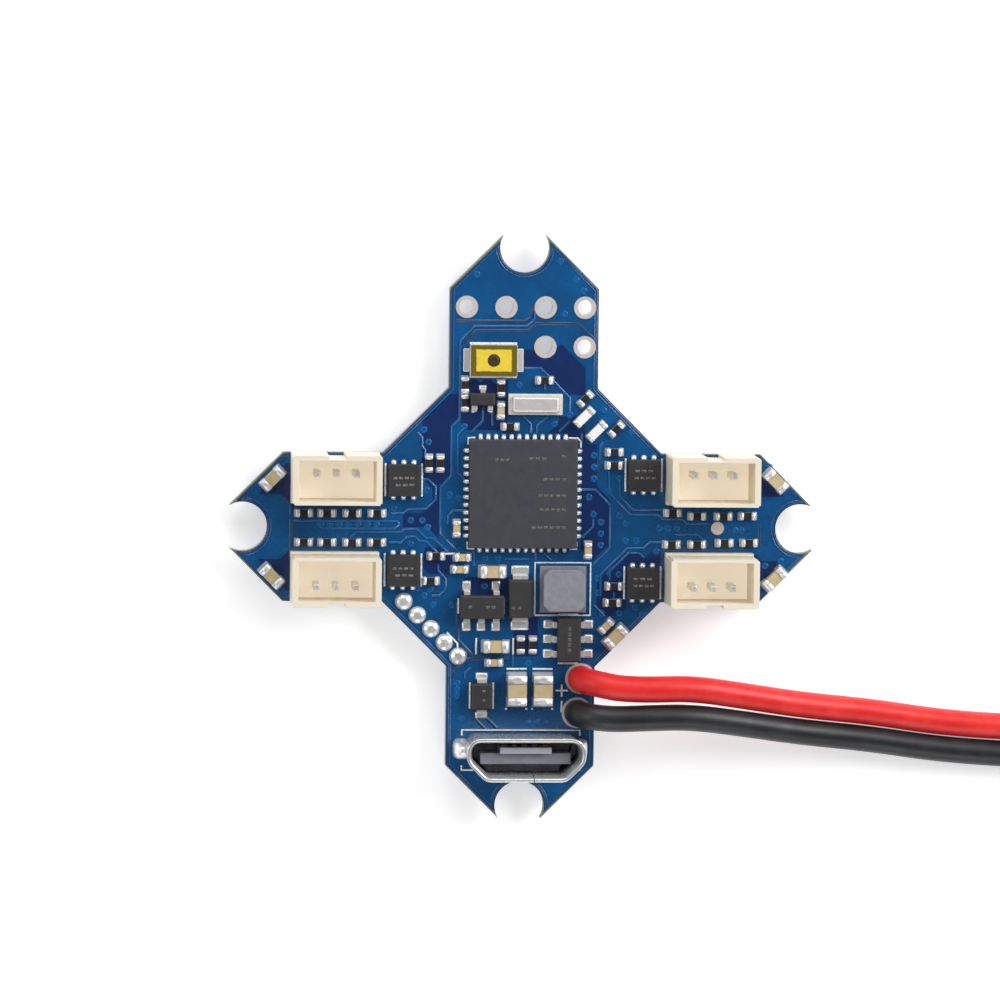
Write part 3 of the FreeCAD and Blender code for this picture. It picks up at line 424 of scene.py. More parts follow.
def resistor_finish():
    """Black film over white ceramic."""
    f = Finish("resistor_film", tint("201F22"), 0.35)
    z = f.axes()[2]
    base = f.mix(f.noise(0.3, 3), tint("151417"), tint("2F2D30"))
    f.put("Base Color", f.mix(z.above(TOP + 0.24), tint("D8D5CC"), base))
    f.put("Roughness", f.noise(0.2).spread(0.28, 0.5))
    return f.relief(f.noise(0.1, 3), 0.01)


def film_finish():
    """Yellow film of the boot switch, drawn tight over the dome and stuck down at the rim."""
    film = colours().film
    f = Finish("switch_film", film, 0.3, coat_weight=0.5, coat_roughness=0.1)
    x, y, _ = f.axes()
    low, high = (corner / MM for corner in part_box("switch_film"))
    middle = (low + high) / 2
    half = (high - low) / 2
    wobble = f.noise(0.35, 2).spread(-0.06, 0.06)
    across = abs(x - middle.x) + wobble
    along = abs(y - middle.y) + wobble
    inner = (1 - across.rise(half.x - 0.4, half.x - 0.32)) * (1 - along.rise(half.y - 0.34, half.y - 0.26))
    bright = f.mix(f.noise(0.5, 3), scaled(film, 0.86), scaled(film, 1.15))
    f.put("Base Color", f.mix(inner, tint("6B5E12"), bright))
    f.put("Roughness", f.noise(0.3).spread(0.2, 0.42))
    return f.relief(inner * 0.6 + f.noise(0.3, 2) * 0.4, 0.03)


def silicone_finish(name, colour, lift):
    """Soft silicone skin of a lead, with the drag lines of its die and a bloom of dust."""
    f = Finish(name, colour, 0.4, specular_ior_level=0.45)
    bloom = f.noise(3.0, 4, 0.6)
    f.put("Base Color", f.mix(bloom.rise(0.3, 0.8), scaled(colour, 0.9), lift))
    f.put("Roughness", f.noise(0.8, 3).spread(0.3, 0.5))
    return f.relief(f.noise(0.5, 4, 0.6, (0.3, 1, 1)), 0.012)


def red_finish():
    return silicone_finish("red_silicone", colours().red, tint("EC3A34"))


def black_finish():
    return silicone_finish("black_silicone", colours().black, tint("2C2D31"))


def floor_finish():
    """Plain pale floor."""
    f = Finish("pale_floor", colours().floor, 0.65, emission_color=(1, 1, 1, 1), emission_strength=0.4)
    f.put("Roughness", f.noise(40.0).spread(0.6, 0.7))
    return f


MAKERS = {
    "board": board_finish,
    "trace": trace_finish,
    "bare": bare_finish,
    "gap": gap_finish,
    "socket_nylon": nylon_finish,
    "moulding": moulding_finish,
    "shell_steel": shell_finish,
    "chip_case": chip_finish,
    "resistor_film": resistor_finish,
    "switch_film": film_finish,
    "red_silicone": red_finish,
    "black_silicone": black_finish,
    "floor": floor_finish,
    # print, marks and metal coats
    "silk": partial(
        drifting, "white_print", "E9ECEC", 0.6, ("B7C3D0", "F2F3F2"),
        (0.16, 3), (0.2,), (0.5, 0.75), (0.1,), 0.01, edge=(0.3, 0.5),
    ),
    "mark": partial(
        drifting, "laser_mark", "6B6A6A", 0.6, ("454446", "7E7C7A"),
        (0.09, 2), (0.1,), (0.5, 0.75), edge=(0.35, 0.6),
    ),
    "faint_mark": partial(
        drifting, "faint_laser_mark", "55534F", 0.6, ("4A4A4C", "68645C"),
        (0.12, 2), (0.1,), (0.5, 0.75), edge=(0.4, 0.6),
    ),
    "plating": partial(
        drifting, "plating", "E6DCD8", 0.3, ("DCCBC2", "F3EEEC"),
        (0.35, 3), (0.25, 3), (0.2, 0.42), (0.3, 3), 0.02, metallic=0.4,
    ),
    "solder": partial(
        drifting, "solder", "DADCE0", 0.2, ("F4F5F7", "C9C8C6"),
        (0.45, 3), (0.12, 3), (0.12, 0.34), (0.22, 3, 0.6), 0.025, edge=(0.5, 0.8), metallic=0.6,
    ),
    "end": partial(
        drifting, "tinned_end", "E4E4E2", 0.3, ("D2D2D2", "F6F6F8"),
        (0.3, 3), (0.12, 3), (0.2, 0.45), (0.12, 3), 0.02, metallic=0.55,
    ),
    "contact_gold": partial(brushed, "contact_gold", "C99A3C", "EBC873", 0.25),
    "pin_metal": partial(brushed, "pin_tin", "CFCDCB", "F2F1EE", 0.3, 0.5),
    "lid_metal": partial(brushed, "lid_metal", "CFCBCC", "EDE9EA", 0.36, 0.5),
    "switch_metal": partial(brushed, "switch_metal", "CFCFD2", "F4F4F6", 0.32, 0.5),
    "dome_steel": partial(brushed, "dome_steel", "B0B0AE", "E2E2E0", 0.22),
    # cases, ceramics and plastics
    "plug_nylon": partial(
        drifting, "plug_nylon", "ECE9E1", 0.4, ("E2DED4", "F3F1EC"),
        (2.0, 3), (0.4,), (0.32, 0.5), (0.2, 3), 0.008, subsurface_weight=0.1, subsurface_scale=0.0012,
    ),
    "processor_case": partial(case_finish, "processor_case", tint("37383F")),
    "ceramic_tan": partial(
        drifting, "capacitor_ceramic", "B99B68", 0.45, ("B19E76", "CFBE98"),
        (0.45, 4), (0.2, 3), (0.34, 0.55), (0.14, 3), 0.012,
    ),
    "ceramic_white": partial(
        drifting, "white_ceramic", "D9D6CC", 0.5, ("CBC7BB", "E6E4DC"),
        (0.4, 3), (0.2, 3), (0.4, 0.6), (0.1, 3), 0.01,
    ),
    "ferrite": partial(
        drifting, "ferrite", "7F8089", 0.55, ("6C6D76", "92939C"),
        (0.4, 4), (0.2, 3), (0.4, 0.65), (0.09, 4, 0.7), 0.02,
    ),
    "light_case": partial(
        drifting, "light_case", "ECEBE8", 0.25, ("E4E3DD", "F8F8F6"),
        (0.3, 3), (0.2,), (0.18, 0.35), (0.15, 3), 0.01,
    ),
    "stem": partial(
        drifting, "stem", "33280A", 0.45, ("241C08", "453710"),
        (0.2, 3), (0.15,), (0.35, 0.55), (0.1, 3), 0.01,
    ),
}


# ---- pieces ----------------------------------------------------------------------------------


def added(name, data, material, body=ROOT, stands_for=()):
    """A finished piece at the origin that rides on a body of the frame."""
    piece = bpy.data.objects.new(name, data)
    bpy.context.scene.collection.objects.link(piece)
    data.materials.clear()
    data.materials.append(finish(material))
    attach(piece, body)
    if stands_for:
        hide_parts(*stands_for)
    return piece


def merged(node):
    """A copy of a CAD node's mesh with its loose triangles joined and its flat faces whole."""
    shape = bmesh.new()
    shape.from_mesh(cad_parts[node].data)
    bmesh.ops.remove_doubles(shape, verts=shape.verts, dist=1e-6)
    bmesh.ops.dissolve_limit(
        shape, angle_limit=math.radians(0.5), verts=shape.verts, edges=shape.edges, delimit=set()
    )
    return shape


def mesh_of(shape, name, smooth=False):
    mesh = bpy.data.meshes.new(name)
    shape.to_mesh(mesh)
    shape.free()
    if smooth:
        mesh.shade_smooth()
    return mesh


def rounded(node, material, edge=None, segments=2, body=ROOT):
    """A CAD node's shape again with its sharp edges rounded, in place of the node."""
    mesh = mesh_of(merged(node), node)
    piece = added(f"{node}_rounded", mesh, material, body, (node,))
    bevel = piece.modifiers.new("Rounding", "BEVEL")
    bevel.width = sizes().edge if edge is None else edge * MM
    bevel.segments = segments
    bevel.limit_method = "ANGLE"
    bevel.angle_limit = math.radians(40)
    bevel.use_clamp_overlap = True
    bevel.harden_normals = True
    return piece


def painted(node, material):
    """A CAD node kept as it is, with a better finish."""
    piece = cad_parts[node]
    piece.data.materials.clear()
    piece.data.materials.append(finish(material))
    return piece


def solids(node):
    """Every separate solid of a node: its middle, its turn about Z and its size, in millimetres."""
    shape = merged(node)
    unseen = set(shape.verts)
    found = []
    while unseen:
        group, edge_of_group = [], [unseen.pop()]
        while edge_of_group:
            vertex = edge_of_group.pop()
            group.append(vertex)
            for edge in vertex.link_edges:
                other = edge.other_vert(vertex)
                if other in unseen:
                    unseen.discard(other)
                    edge_of_group.append(other)
        points = [v.co / MM for v in group]
        flat = [e for v in group for e in v.link_edges if abs(e.verts[0].co.z - e.verts[1].co.z) < 1e-7]
        longest = max(flat, key=lambda e: e.calc_length())
        way = (longest.verts[1].co - longest.verts[0].co).normalized()
        turn = math.atan2(way.y, way.x)
        back = Matrix.Rotation(-turn, 3, "Z")
        local = [back @ p for p in points]
        low = Vector([min(p[i] for p in local) for i in range(3)])
        high = Vector([max(p[i] for p in local) for i in range(3)])
        middle = Matrix.Rotation(turn, 3, "Z") @ ((low + high) / 2)
        found.append((middle, turn, high - low))
    shape.free()
    return sorted(found, key=lambda s: (round(s[0].x, 3), round(s[0].y, 3), round(s[0].z, 3)))


def ring(length, width, radius, z, ahead=0.0, steps=3):
    """A rounded rectangle round the origin at height z, longer ahead along X by an amount."""
    radius = min(radius, length / 2 - 1e-4, width / 2 - 1e-4)
    points = []
    for quarter, (sx, sy) in enumerate(((1, 1), (-1, 1), (-1, -1), (1, -1))):
        cx = sx * (length / 2 - radius) + (ahead if sx > 0 else 0)
        cy = sy * (width / 2 - radius)
        for step in range(steps + 1):
            angle = math.pi / 2 * (quarter + step / steps)
            points.append(Vector((cx + radius * math.cos(angle), cy + radius * math.sin(angle), z)) * MM)
    return points


def lofted(rings, name="loft", hollow=False):
    """A closed smooth mesh through rings of the same number of points, from the bottom up.

    A hollow one goes up its outside and down its inside, back to its first ring.
    """
    shape = bmesh.new()
    rows = [[shape.verts.new(p) for p in points] for points in rings]
    if hollow:
        rows.append(rows[0])
    else:
        shape.faces.new(list(reversed(rows[0])))
        shape.faces.new(rows[-1])
    count = len(rows[0])
    for lower, upper in zip(rows, rows[1:]):
        for i in range(count):
            j = (i + 1) % count
            shape.faces.new((lower[i], lower[j], upper[j], upper[i]))
    return mesh_of(shape, name, smooth=True)


def outline(corners, grow=0.0, steps=6):
    """Points round a convex outline of (x, y, radius) corners, grown outwards by an amount."""
    points = []
    count = len(corners)
    for i, (x, y, radius) in enumerate(corners):
        here = Vector((x, y))
        before = (Vector(corners[i - 1][:2]) - here).normalized()
        after = (Vector(corners[(i + 1) % count][:2]) - here).normalized()
        first, second = Vector((-before.y, before.x)), Vector((after.y, -after.x))
        moved = here + (first + second) / (1 + first.dot(second)) * grow
        radius = max(radius + grow, 0.02)
        half = before.angle(after) / 2
        centre = moved + (before + after).normalized() * (radius / math.sin(half))
        begin, finish_at = (math.atan2(v.y, v.x) for v in (first, second))
        sweep = (finish_at - begin + math.pi) % (2 * math.pi) - math.pi
        for step in range(steps + 1):
            angle = begin + sweep * step / steps
            points.append(centre + radius * Vector((math.cos(angle), math.sin(angle))))
    return points


def bead():
    """A low rounded mound in a cube of side 1 mm that stands on its floor."""
    rows = ((1.0, 0.0), (0.99, 0.12), (0.9, 0.42), (0.7, 0.75), (0.42, 0.95), (0.15, 1.0))
    return lofted([ring(w, w, 0.3 * w, z) for w, z in rows], "bead")


def soldered_end(length, width, height, reach):
    """A part's metal end, with solder that climbs its outer face. The part's body is at -X."""
    rows = (
        (0.0, 1.0, 0.3), (0.1, 0.68, 0.2), (0.28, 0.36, 0.1),
        (0.6, 0.12, 0.04), (0.9, 0.02, 0.0), (1.0, -0.2, -0.2),
    )
    rings = []
    for up, out, side in rows:
        rings.append(ring(length, width + 2 * side * reach, 0.09, up * height, out * reach))
    return lofted(rings, "soldered_end")


def covered_via(radius):
    """A via under the mask: a low ring with a dimple in its middle."""
    rows = ((1.0, 0.0), (0.86, 0.02), (0.62, 0.026), (0.42, 0.014), (0.2, 0.006))
    return lofted([ring(2 * radius * r, 2 * radius * r, radius * r, z) for r, z in rows], "covered_via")


def wetted_pad(length, width, height):
    """Solder that spreads from a lead's foot over its pad."""
    rows = ((1.0, 0.0), (0.94, 0.3), (0.8, 0.75), (0.6, 1.0))
    return lofted([ring(length * r, width * r, 0.12, up * height) for r, up in rows], "wetted_pad")


# ---- geometry nodes --------------------------------------------------------------------------


class Recipe(Nodes):
    """A geometry node tree with named inputs."""

    def __init__(self, name, inputs):
        super().__init__(bpy.data.node_groups.new(name, "GeometryNodeTree"))
        self.tree.interface.new_socket("Geometry", in_out="INPUT", socket_type="NodeSocketGeometry")
        self.tree.interface.new_socket("Geometry", in_out="OUTPUT", socket_type="NodeSocketGeometry")
        for label, kind in inputs.items():
            self.tree.interface.new_socket(label, in_out="INPUT", socket_type=kind)
        self.start = self.tree.nodes.new("NodeGroupInput")
        self.end = self.tree.nodes.new("NodeGroupOutput")

    def ends_with(self, geometry):
        """Real copies, one finish."""
        real = self.add("GeometryNodeRealizeInstances", (), {"Geometry": geometry})
        coated = self.add(
            "GeometryNodeSetMaterial",
            (),
            {"Geometry": real.outputs[0], "Material": self.start.outputs["Finish"]},
        )
        self.tree.links.new(coated.outputs[0], self.end.inputs[0])
        return self.tree


def ribbon_recipe():
    """Flat closed ribbons along the edges of a mesh."""
    recipe = Recipe(
        "Ribbons", {"Width": "NodeSocketFloat", "Height": "NodeSocketFloat", "Finish": "NodeSocketMaterial"}
    )
    inputs = recipe.start.outputs
    lines = recipe.add("GeometryNodeMeshToCurve", (), {"Mesh": inputs["Geometry"]})
    upright = recipe.add("GeometryNodeSetCurveNormal", {"mode": "Z_UP"}, {"Curve": lines.outputs[0]})
    section = recipe.add(
        "GeometryNodeCurvePrimitiveQuadrilateral",
        (),
        {"Width": inputs["Width"], "Height": inputs["Height"]},
    )
    swept = recipe.add(
        "GeometryNodeCurveToMesh",
        (),
        {"Curve": upright.outputs[0], "Profile Curve": section.outputs[0], "Fill Caps": True},
    )
    return recipe.ends_with(swept.outputs[0])


def scatter_recipe():
    """One shape at every point, turned and stretched by the points' own attributes."""
    recipe = Recipe("Placed shapes", {"Shape": "NodeSocketObject", "Finish": "NodeSocketMaterial"})
    inputs = recipe.start.outputs
    shape = recipe.add("GeometryNodeObjectInfo", (), {"Object": inputs["Shape"]})
    turn = recipe.add("GeometryNodeInputNamedAttribute", {"data_type": "FLOAT_VECTOR"}, {"Name": "turn"})
    size = recipe.add("GeometryNodeInputNamedAttribute", {"data_type": "FLOAT_VECTOR"}, {"Name": "stretch"})
    turning = recipe.add("FunctionNodeEulerToRotation", (), {0: turn.outputs[0]})
    placed = recipe.add(
        "GeometryNodeInstanceOnPoints",
        (),
        {
            "Points": inputs["Geometry"],
            "Instance": shape.outputs["Geometry"],
            "Rotation": turning.outputs[0],
            "Scale": size.outputs[0],
        },
    )
    return recipe.ends_with(placed.outputs[0])


def grown(name, mesh, tree, values, material):
    """The plain mesh that a tree makes from a mesh."""
    holder = bpy.data.objects.new(f"{name}_points", mesh)
    bpy.context.scene.collection.objects.link(holder)
    modifier = holder.modifiers.new("Recipe", "NODES")
    modifier.node_group = tree
    known = {s.name: s.identifier for s in tree.interface.items_tree if s.in_out == "INPUT"}
    for label, value in {**values, "Finish": finish(material)}.items():
        modifier[known[label]] = value
    graph = bpy.context.evaluated_depsgraph_get()
    result = bpy.data.meshes.new_from_object(holder.evaluated_get(graph), depsgraph=graph)
    result.name = name
    bpy.data.objects.remove(holder)
    return result


RIBBON_LIFT = 0.0003
EDGES_PER_LIFT = 8
SLAB_LIFT = 0.0004


def ribbons(name, lines, width, height, level, material):
    """Ribbons along lines of (x, y) points, lying on a level, each a hair above the one before."""
    mesh = bpy.data.meshes.new(f"{name}_lines")
    points, edges = [], []
    for line in lines:
        start = len(points)
        lift = level + RIBBON_LIFT * len(edges) / EDGES_PER_LIFT
        points += [(x * MM, y * MM, lift * MM) for x, y in line]
        edges += [(start + i, start + i + 1) for i in range(len(line) - 1)]
    mesh.from_pydata(points, edges, [])
    made = grown(name, mesh, RECIPES["ribbon"], {"Width": width, "Height": height}, material)
    return added(name, made, material)


def placed(name, shape, spots, material, slot, stands_for=(), smooth=True):
    """A shape at every spot: its place, its turn about Z or about X, Y and Z, and its stretch."""
    points = bpy.data.meshes.new(f"{name}_spots")
    points.from_pydata([Vector(spot[0]) * MM for spot in spots], [], [])
    turns = points.attributes.new("turn", "FLOAT_VECTOR", "POINT")
    stretches = points.attributes.new("stretch", "FLOAT_VECTOR", "POINT")
    for i, (_, turn, stretch) in enumerate(spots):
        turns.data[i].vector = turn if isinstance(turn, tuple) else (0, 0, turn)
        stretches.data[i].vector = stretch
    pattern = bpy.data.objects.new(f"{name}_shape", shape)
    bpy.context.scene.collection.objects.link(pattern)
    made = grown(name, points, RECIPES["scatter"], {"Shape": pattern}, material)
    bpy.data.objects.remove(pattern)
    if smooth:
        made.shade_smooth()
    return added(name, made, material, stands_for=stands_for)


RECIPES = {}


# ---- operators -------------------------------------------------------------------------------


class Maker:
    """What every operator here shares."""

    bl_options = {"REGISTER", "UNDO"}

    def execute(self, context):
        self.make()
        return {"FINISHED"}


CAMERA_PLACE = (-28.1, 27.4, 352.0)
CAMERA_TURN = (-4.22, -4.31, 0.61)
CAMERA_LENS = 196.7


class BOARD_OT_stage(Maker, bpy.types.Operator):
    """Sets up the camera, the soft light and the pale floor"""

    bl_idname = "board.stage"
    bl_label = "Stage"

    def make(self):
        camera = bpy.data.cameras.new("camera")
        camera.lens = CAMERA_LENS
        camera.sensor_width = 36.0
        camera.clip_start = 0.02
        camera.clip_end = 10.0
        holder = bpy.data.objects.new("camera", camera)
        tilt, roll, spin = (math.radians(a) for a in CAMERA_TURN)
        turn = Matrix.Rotation(spin, 4, "Z") @ Matrix.Rotation(roll, 4, "Y") @ Matrix.Rotation(tilt, 4, "X")
        holder.matrix_world = Matrix.Translation(Vector(CAMERA_PLACE) * MM) @ turn
        bpy.context.scene.collection.objects.link(holder)
        bpy.context.scene.camera = holder

        for name, place, size, power in (
            ("key", (300, 170, 230), 240, 1.35),
            ("fill", (-320, 60, 240), 260, 0.35),
            ("front", (30, -330, 230), 260, 0.4),
            ("back", (-40, 330, 240), 260, 0.55),
        ):
            light = bpy.data.lights.new(name, "AREA")
            light.size = size * MM
            light.energy = power
            lamp = bpy.data.objects.new(name, light)
            lamp.location = Vector(place) * MM
            lamp.rotation_euler = Vector(place).to_track_quat("Z", "Y").to_euler()
            bpy.context.scene.collection.objects.link(lamp)

        world = bpy.data.worlds.new("studio")
        world.use_nodes = True
        sky = Nodes(world.node_tree)
        way = sky.node("ShaderNodeTexCoord", output="Generated")
        height = sky.node("ShaderNodeSeparateXYZ", (), {0: way}, output=2)
        dimmer = 1 - height.rise(0.45, 0.95)
        background = world.node_tree.nodes["Background"]
        background.inputs["Color"].default_value = (1, 1, 1, 1)
        sky.fill(background.inputs["Strength"], dimmer.spread(0.1, 0.45))
        bpy.context.scene.world = world
        bpy.context.scene.view_settings.view_transform = "Standard"

        shape = bmesh.new()
        bmesh.ops.create_grid(shape, x_segments=1, y_segments=1, size=3.0)
        floor = bpy.data.objects.new("floor", mesh_of(shape, "floor"))
        floor.data.materials.append(finish("floor"))
        bpy.context.scene.collection.objects.link(floor)


RED_ROUTE = (
    (3.89, -9.76, 2.05), (3.89, -9.76, 2.95), (4.35, -9.81, 3.77), (5.16, -9.96, 4.21),
    (6.29, -10.18, 4.25), (8.3, -10.25, 4.15), (11.0, -10.2, 3.8), (14.4, -10.75, 3.05),
    (18.4, -11.45, 2.05), (23.0, -11.95, 1.25), (27.8, -12.7, 0.93), (32.6, -13.0, 0.85),
    (38.0, -13.2, 0.87), (43.8, -13.85, 0.9), (49.6, -14.2, 1.1), (54.8, -13.95, 1.65),
    (59.6, -13.7, 2.25), (64.0, -13.7, 2.25),
)
BLACK_ROUTE = (
    (3.69, -11.98, 2.05), (3.69, -11.98, 2.95), (4.15, -12.0, 3.77), (4.96, -12.08, 4.21),
    (6.09, -12.15, 4.25), (8.2, -12.08, 4.15), (10.9, -12.05, 3.8), (14.3, -12.55, 3.05),
    (18.2, -13.2, 2.05), (22.8, -13.72, 1.25), (27.6, -14.45, 0.93), (32.4, -14.78, 0.85),
    (37.8, -15.0, 0.87), (43.6, -15.65, 0.9), (49.4, -16.02, 1.1), (54.7, -15.88, 1.65),
    (59.6, -15.7, 2.25), (64.0, -15.7, 2.25),
)


class BOARD_OT_leads(Maker, bpy.types.Operator):
    """Lays the two battery leads and dresses their plug"""

    bl_idname = "board.leads"
    bl_label = "Battery leads"

    def make(self):
        plug = rounded("lead_plug", "plug_nylon", 0.25, 3)
        contacts = rounded("lead_plug_contacts", "contact_gold", 0.06)
        for colour, route, length, pieces in (
            ("red", RED_ROUTE, 62.18, (plug, contacts)),
            ("black", BLACK_ROUTE, 62.34, (plug, contacts)),
        ):
            line = bpy.data.curves.new(f"{colour}_battery_lead", "CURVE")
            line.dimensions = "3D"
            spline = line.splines.new("NURBS")
            spline.points.add(len(route) - 1)
            for point, place in zip(spline.points, route):
                point.co = (*(Vector(place) * MM), 1.0)
                point.radius = sizes().lead / 2
            spline.order_u = 3
            spline.use_endpoint_u = True
            line.resolution_u = 10
            line.bevel_depth = 1.0
            line.bevel_resolution = 10
            line.use_fill_caps = True
            skin = f"{colour}_silicone"
            lead = added(f"{colour}_battery_lead", line, skin, ROOT, (f"{colour}_lead",))


COMPASS = {
    "E": (1, 0), "NE": (1, 1), "N": (0, 1), "NW": (-1, 1),
    "W": (-1, 0), "SW": (-1, -1), "S": (0, -1), "SE": (1, -1),
}


def route(x, y, legs):
    """Points from a start, by legs such as "SE 0.5" that go on by so much along each axis."""
    points = [(x, y)]
    for leg in legs.split(", "):
        heading, length = leg.split()
        across, along = COMPASS[heading]
        x += across * float(length)
        y += along * float(length)
        points.append((x, y))
    return points


def copper_traces():
    """The runs of copper on the upper face, a simplified layout."""
    return [
        # down the left side of the processor, and round it
        route(0.7, 14.4, "S 0.9, SW 0.5, W 3.4, SW 0.9, S 5.1, SW 0.5, S 3.2, SW 0.7, S 3.0, SE 1.2, E 0.7"),
        route(-3.7, 3.1, "NW 0.5, N 2.4, NE 0.5"),
        route(-3.6, 1.1, "W 0.9, SW 0.3, S 0.6"),
        route(-6.8, 6.1, "SE 0.3, S 0.6, SE 0.2, S 0.4"),
        route(-5.4, -2.4, "S 0.4, SE 0.5, S 0.7, SW 0.4, W 0.5"),
        # along the left arm
        route(-6.5, 3.1, "E 0.4, SE 0.5, S 0.8, SW 0.6, W 1.2, SW 0.3, W 0.8"),
        route(-8.6, -1.0, "E 0.8, NE 0.4, E 0.5, SE 0.3, E 0.4, SE 0.7"),
        route(-11.1, -0.7, "NE 0.4, E 2.9, NE 0.2, E 0.8, SE 0.6, E 0.5, SE 0.9"),
        route(-14.8, 0.4, "E 6.7, SE 0.2, SW 0.3, W 4.8"),
        # along the right arm
        route(5.6, 3.7, "S 1.4, SE 1.4, E 1.8, SE 0.3, E 1.3, SE 0.3, E 1.4"),
        route(6.3, 3.2, "S 1.1, SE 0.9, E 1.8"),
        route(9.9, -0.4, "E 1.5, SE 0.4"),
        route(9.2, -0.9, "W 0.9, SW 0.4, W 1.1, SW 1.7, S 1.4"),
        route(7.9, -1.9, "NW 0.3, W 0.7, SW 1.4"),
        # right of the processor
        route(3.8, 2.5, "E 0.9, SE 1.0, S 2.8, SW 1.2"),
        route(4.6, 0.6, "S 0.5, SW 0.7"),
        route(5.2, 5.6, "SW 0.2, S 1.0"),
        route(3.8, 6.1, "S 0.6"),
        # between the processor and the boot switch
        route(-2.6, 7.8, "S 0.9, SW 0.8"),
        route(-2.0, 7.6, "S 1.0"),
        route(0.0, 7.2, "SE 0.5, S 0.6"),
        route(1.6, 7.1, "W 0.2, SW 0.5, S 0.5"),
        route(3.0, 6.9, "SW 0.7"),
        route(0.0, 10.3, "E 1.1, SE 0.5"),
        route(1.9, 9.5, "SE 1.1, S 1.0"),
        route(1.4, 9.3, "S 0.4"),
        # below the processor
        route(-1.1, -2.0, "E 1.6"),
        route(0.9, -1.5, "S 0.6"),
        route(1.4, -1.6, "SE 0.5"),
        route(-3.1, -1.5, "S 1.0"),
        route(5.7, -2.6, "S 0.8"),
        route(6.0, -4.1, "S 0.6"),
        route(4.7, -5.0, "SE 0.7"),
        route(-0.5, -8.2, "S 0.8"),
        route(-3.6, -9.8, "N 0.4, NE 0.4"),
    ]


def trace_gaps():
    """Dark gaps beside runs of copper."""
    return [
        route(-4.4, 13.3, "E 4.5, NE 0.4, N 0.6"),
        route(-4.0, 11.8, "NE 0.9, E 3.4, NE 0.5, E 2.7, SE 1.0"),
        route(-14.9, 0.5, "S 2.5"),
        route(-14.9, 0.8, "N 0.6, NW 0.5"),
        route(15.4, 0.3, "S 1.6"),
        route(-2.9, -12.4, "SE 0.7"),
        route(-2.2, -12.3, "SE 0.7"),
        route(-4.4, -9.8, "N 0.4, NE 0.9, E 2.7"),
        route(-4.1, -4.9, "S 2.4, SE 1.1, E 2.2"),
        route(5.5, 5.2, "SW 0.6, S 1.4"),
    ]


def bare_areas():
    """Outlines of the dark areas where no copper lies under the mask."""
    areas = [
        route(0.0, 11.5, "E 0.6, SE 0.7, NE 1.1, SE 1.6, S 1.7, W 1.1, NW 1.8, W 1.1"),
        route(
            -4.7,
            8.6,
            "E 0.5, S 1.5, SW 0.5, S 3.2, SW 0.7, S 3.4, NW 0.7, "
            "W 1.6, N 0.9, E 1.2, NE 0.7, N 0.9, NW 0.7, N 3.8",
        ),
        route(3.8, 5.4, "E 1.0, S 2.7, SE 0.8, S 3.0, SW 1.0, NW 0.8"),
        route(5.3, -3.0, "NE 1.4, E 0.8, SE 0.4, NE 0.5, E 0.6, S 0.9, W 2.2, S 2.8, SW 0.5, W 1.4, N 2.3"),
        route(-6.2, -1.3, "E 0.9, SE 0.8, S 0.9, W 1.5, NW 0.3, N 1.3"),
        route(-4.0, 9.5, "E 3.0, S 3.2, W 2.7, NW 0.3"),
        route(2.3, 7.2, "E 1.2, SE 0.5, S 1.2, W 0.9, NW 0.6, W 0.9, NE 0.7"),
        route(-3.7, -3.2, "E 2.9, S 1.2, W 2.9"),
        route(-0.5, -5.8, "E 1.6, S 2.5, W 1.6"),
    ]
    tip = route(17.0, 2.1, "W 1.4, SW 0.6, N 2.6, E 0.2")
    for i in (1, -1):
        for j in (1, -1):
            areas.append([(i * x, j * y) for x, y in tip])
    return areas


def via_row(x, y, across, along, count):
    return [(x + across * i, y + along * i) for i in range(count)]


def via_places():
    """Covered vias, most of them in short rows."""
    return [
        # the arm with the plated holes
        (3.3, 16.0), (3.8, 15.3), (2.6, 13.8), (-3.1, 16.3), (2.3, 17.2), (5.2, 7.6), (-0.3, 9.2),
        # left and right arms
        *via_row(-13.0, 0.15, 0.6, 0, 7), *via_row(8.9, 0.0, 0.55, 0, 3), *via_row(13.8, -0.1, 0.4, 0, 2),
        (-8.3, 1.2), (8.7, -1.5), (16.0, 4.0), (16.8, -2.1), (15.8, -2.4),
        # left of the processor
        (-6.4, 6.3), (-6.1, 5.5), (-6.2, 2.4), (-4.7, 2.1), (-4.1, 1.9), (-7.2, -1.1), (-4.0, -1.5),
        *via_row(-7.2, 0.45, 0.75, 0, 2), (-6.1, 0.0),
        # right of the processor
        *via_row(4.6, 4.7, 0, -0.75, 3), *via_row(5.1, 0.4, 0, -0.75, 3), (4.3, 2.0), (4.6, 0.9),
        (5.6, 2.4), (6.3, 3.2), (6.3, 0.8), (6.7, 0.3), *via_row(6.7, -0.8, 0.7, 0, 2),
        # between the processor and the boot switch
        (2.0, 6.7), (3.0, 7.3), (7.0, 6.2), (-3.8, 6.5), (-2.8, 9.6), (-1.8, 9.5),
        # below the processor
        *via_row(-2.4, -2.0, 0.85, 0, 2), *via_row(4.9, -3.25, 0, -0.95, 2), (-2.4, -3.8), (6.3, -3.0),
        *via_row(5.2, -5.5, 1.15, 0, 2), *via_row(7.4, -5.1, 0.45, -0.5, 2), (0.5, -8.8),
        *via_row(-6.7, -3.9, 0.8, -0.1, 2), (-6.3, -4.4), (-5.7, -5.0), (-4.5, -5.0),
        # the USB socket's arm
        *via_row(0.55, -12.6, 0.6, 0, 3), *via_row(-4.1, -10.1, 0, -0.4, 3), (-3.8, -12.4),
    ]


def bars_beside(left, low, right, high, upright):
    """Two printed lines at opposite sides of a rectangle."""
    if upright:
        return [[(left, low), (left, high)], [(right, low), (right, high)]]
    return [[(left, low), (right, low)], [(left, high), (right, high)]]


def grown_box(low, high, across, along):
    """A rectangle grown by its margins: left, low, right and high."""
    return low.x - across, low.y - along, high.x + across, high.y + along


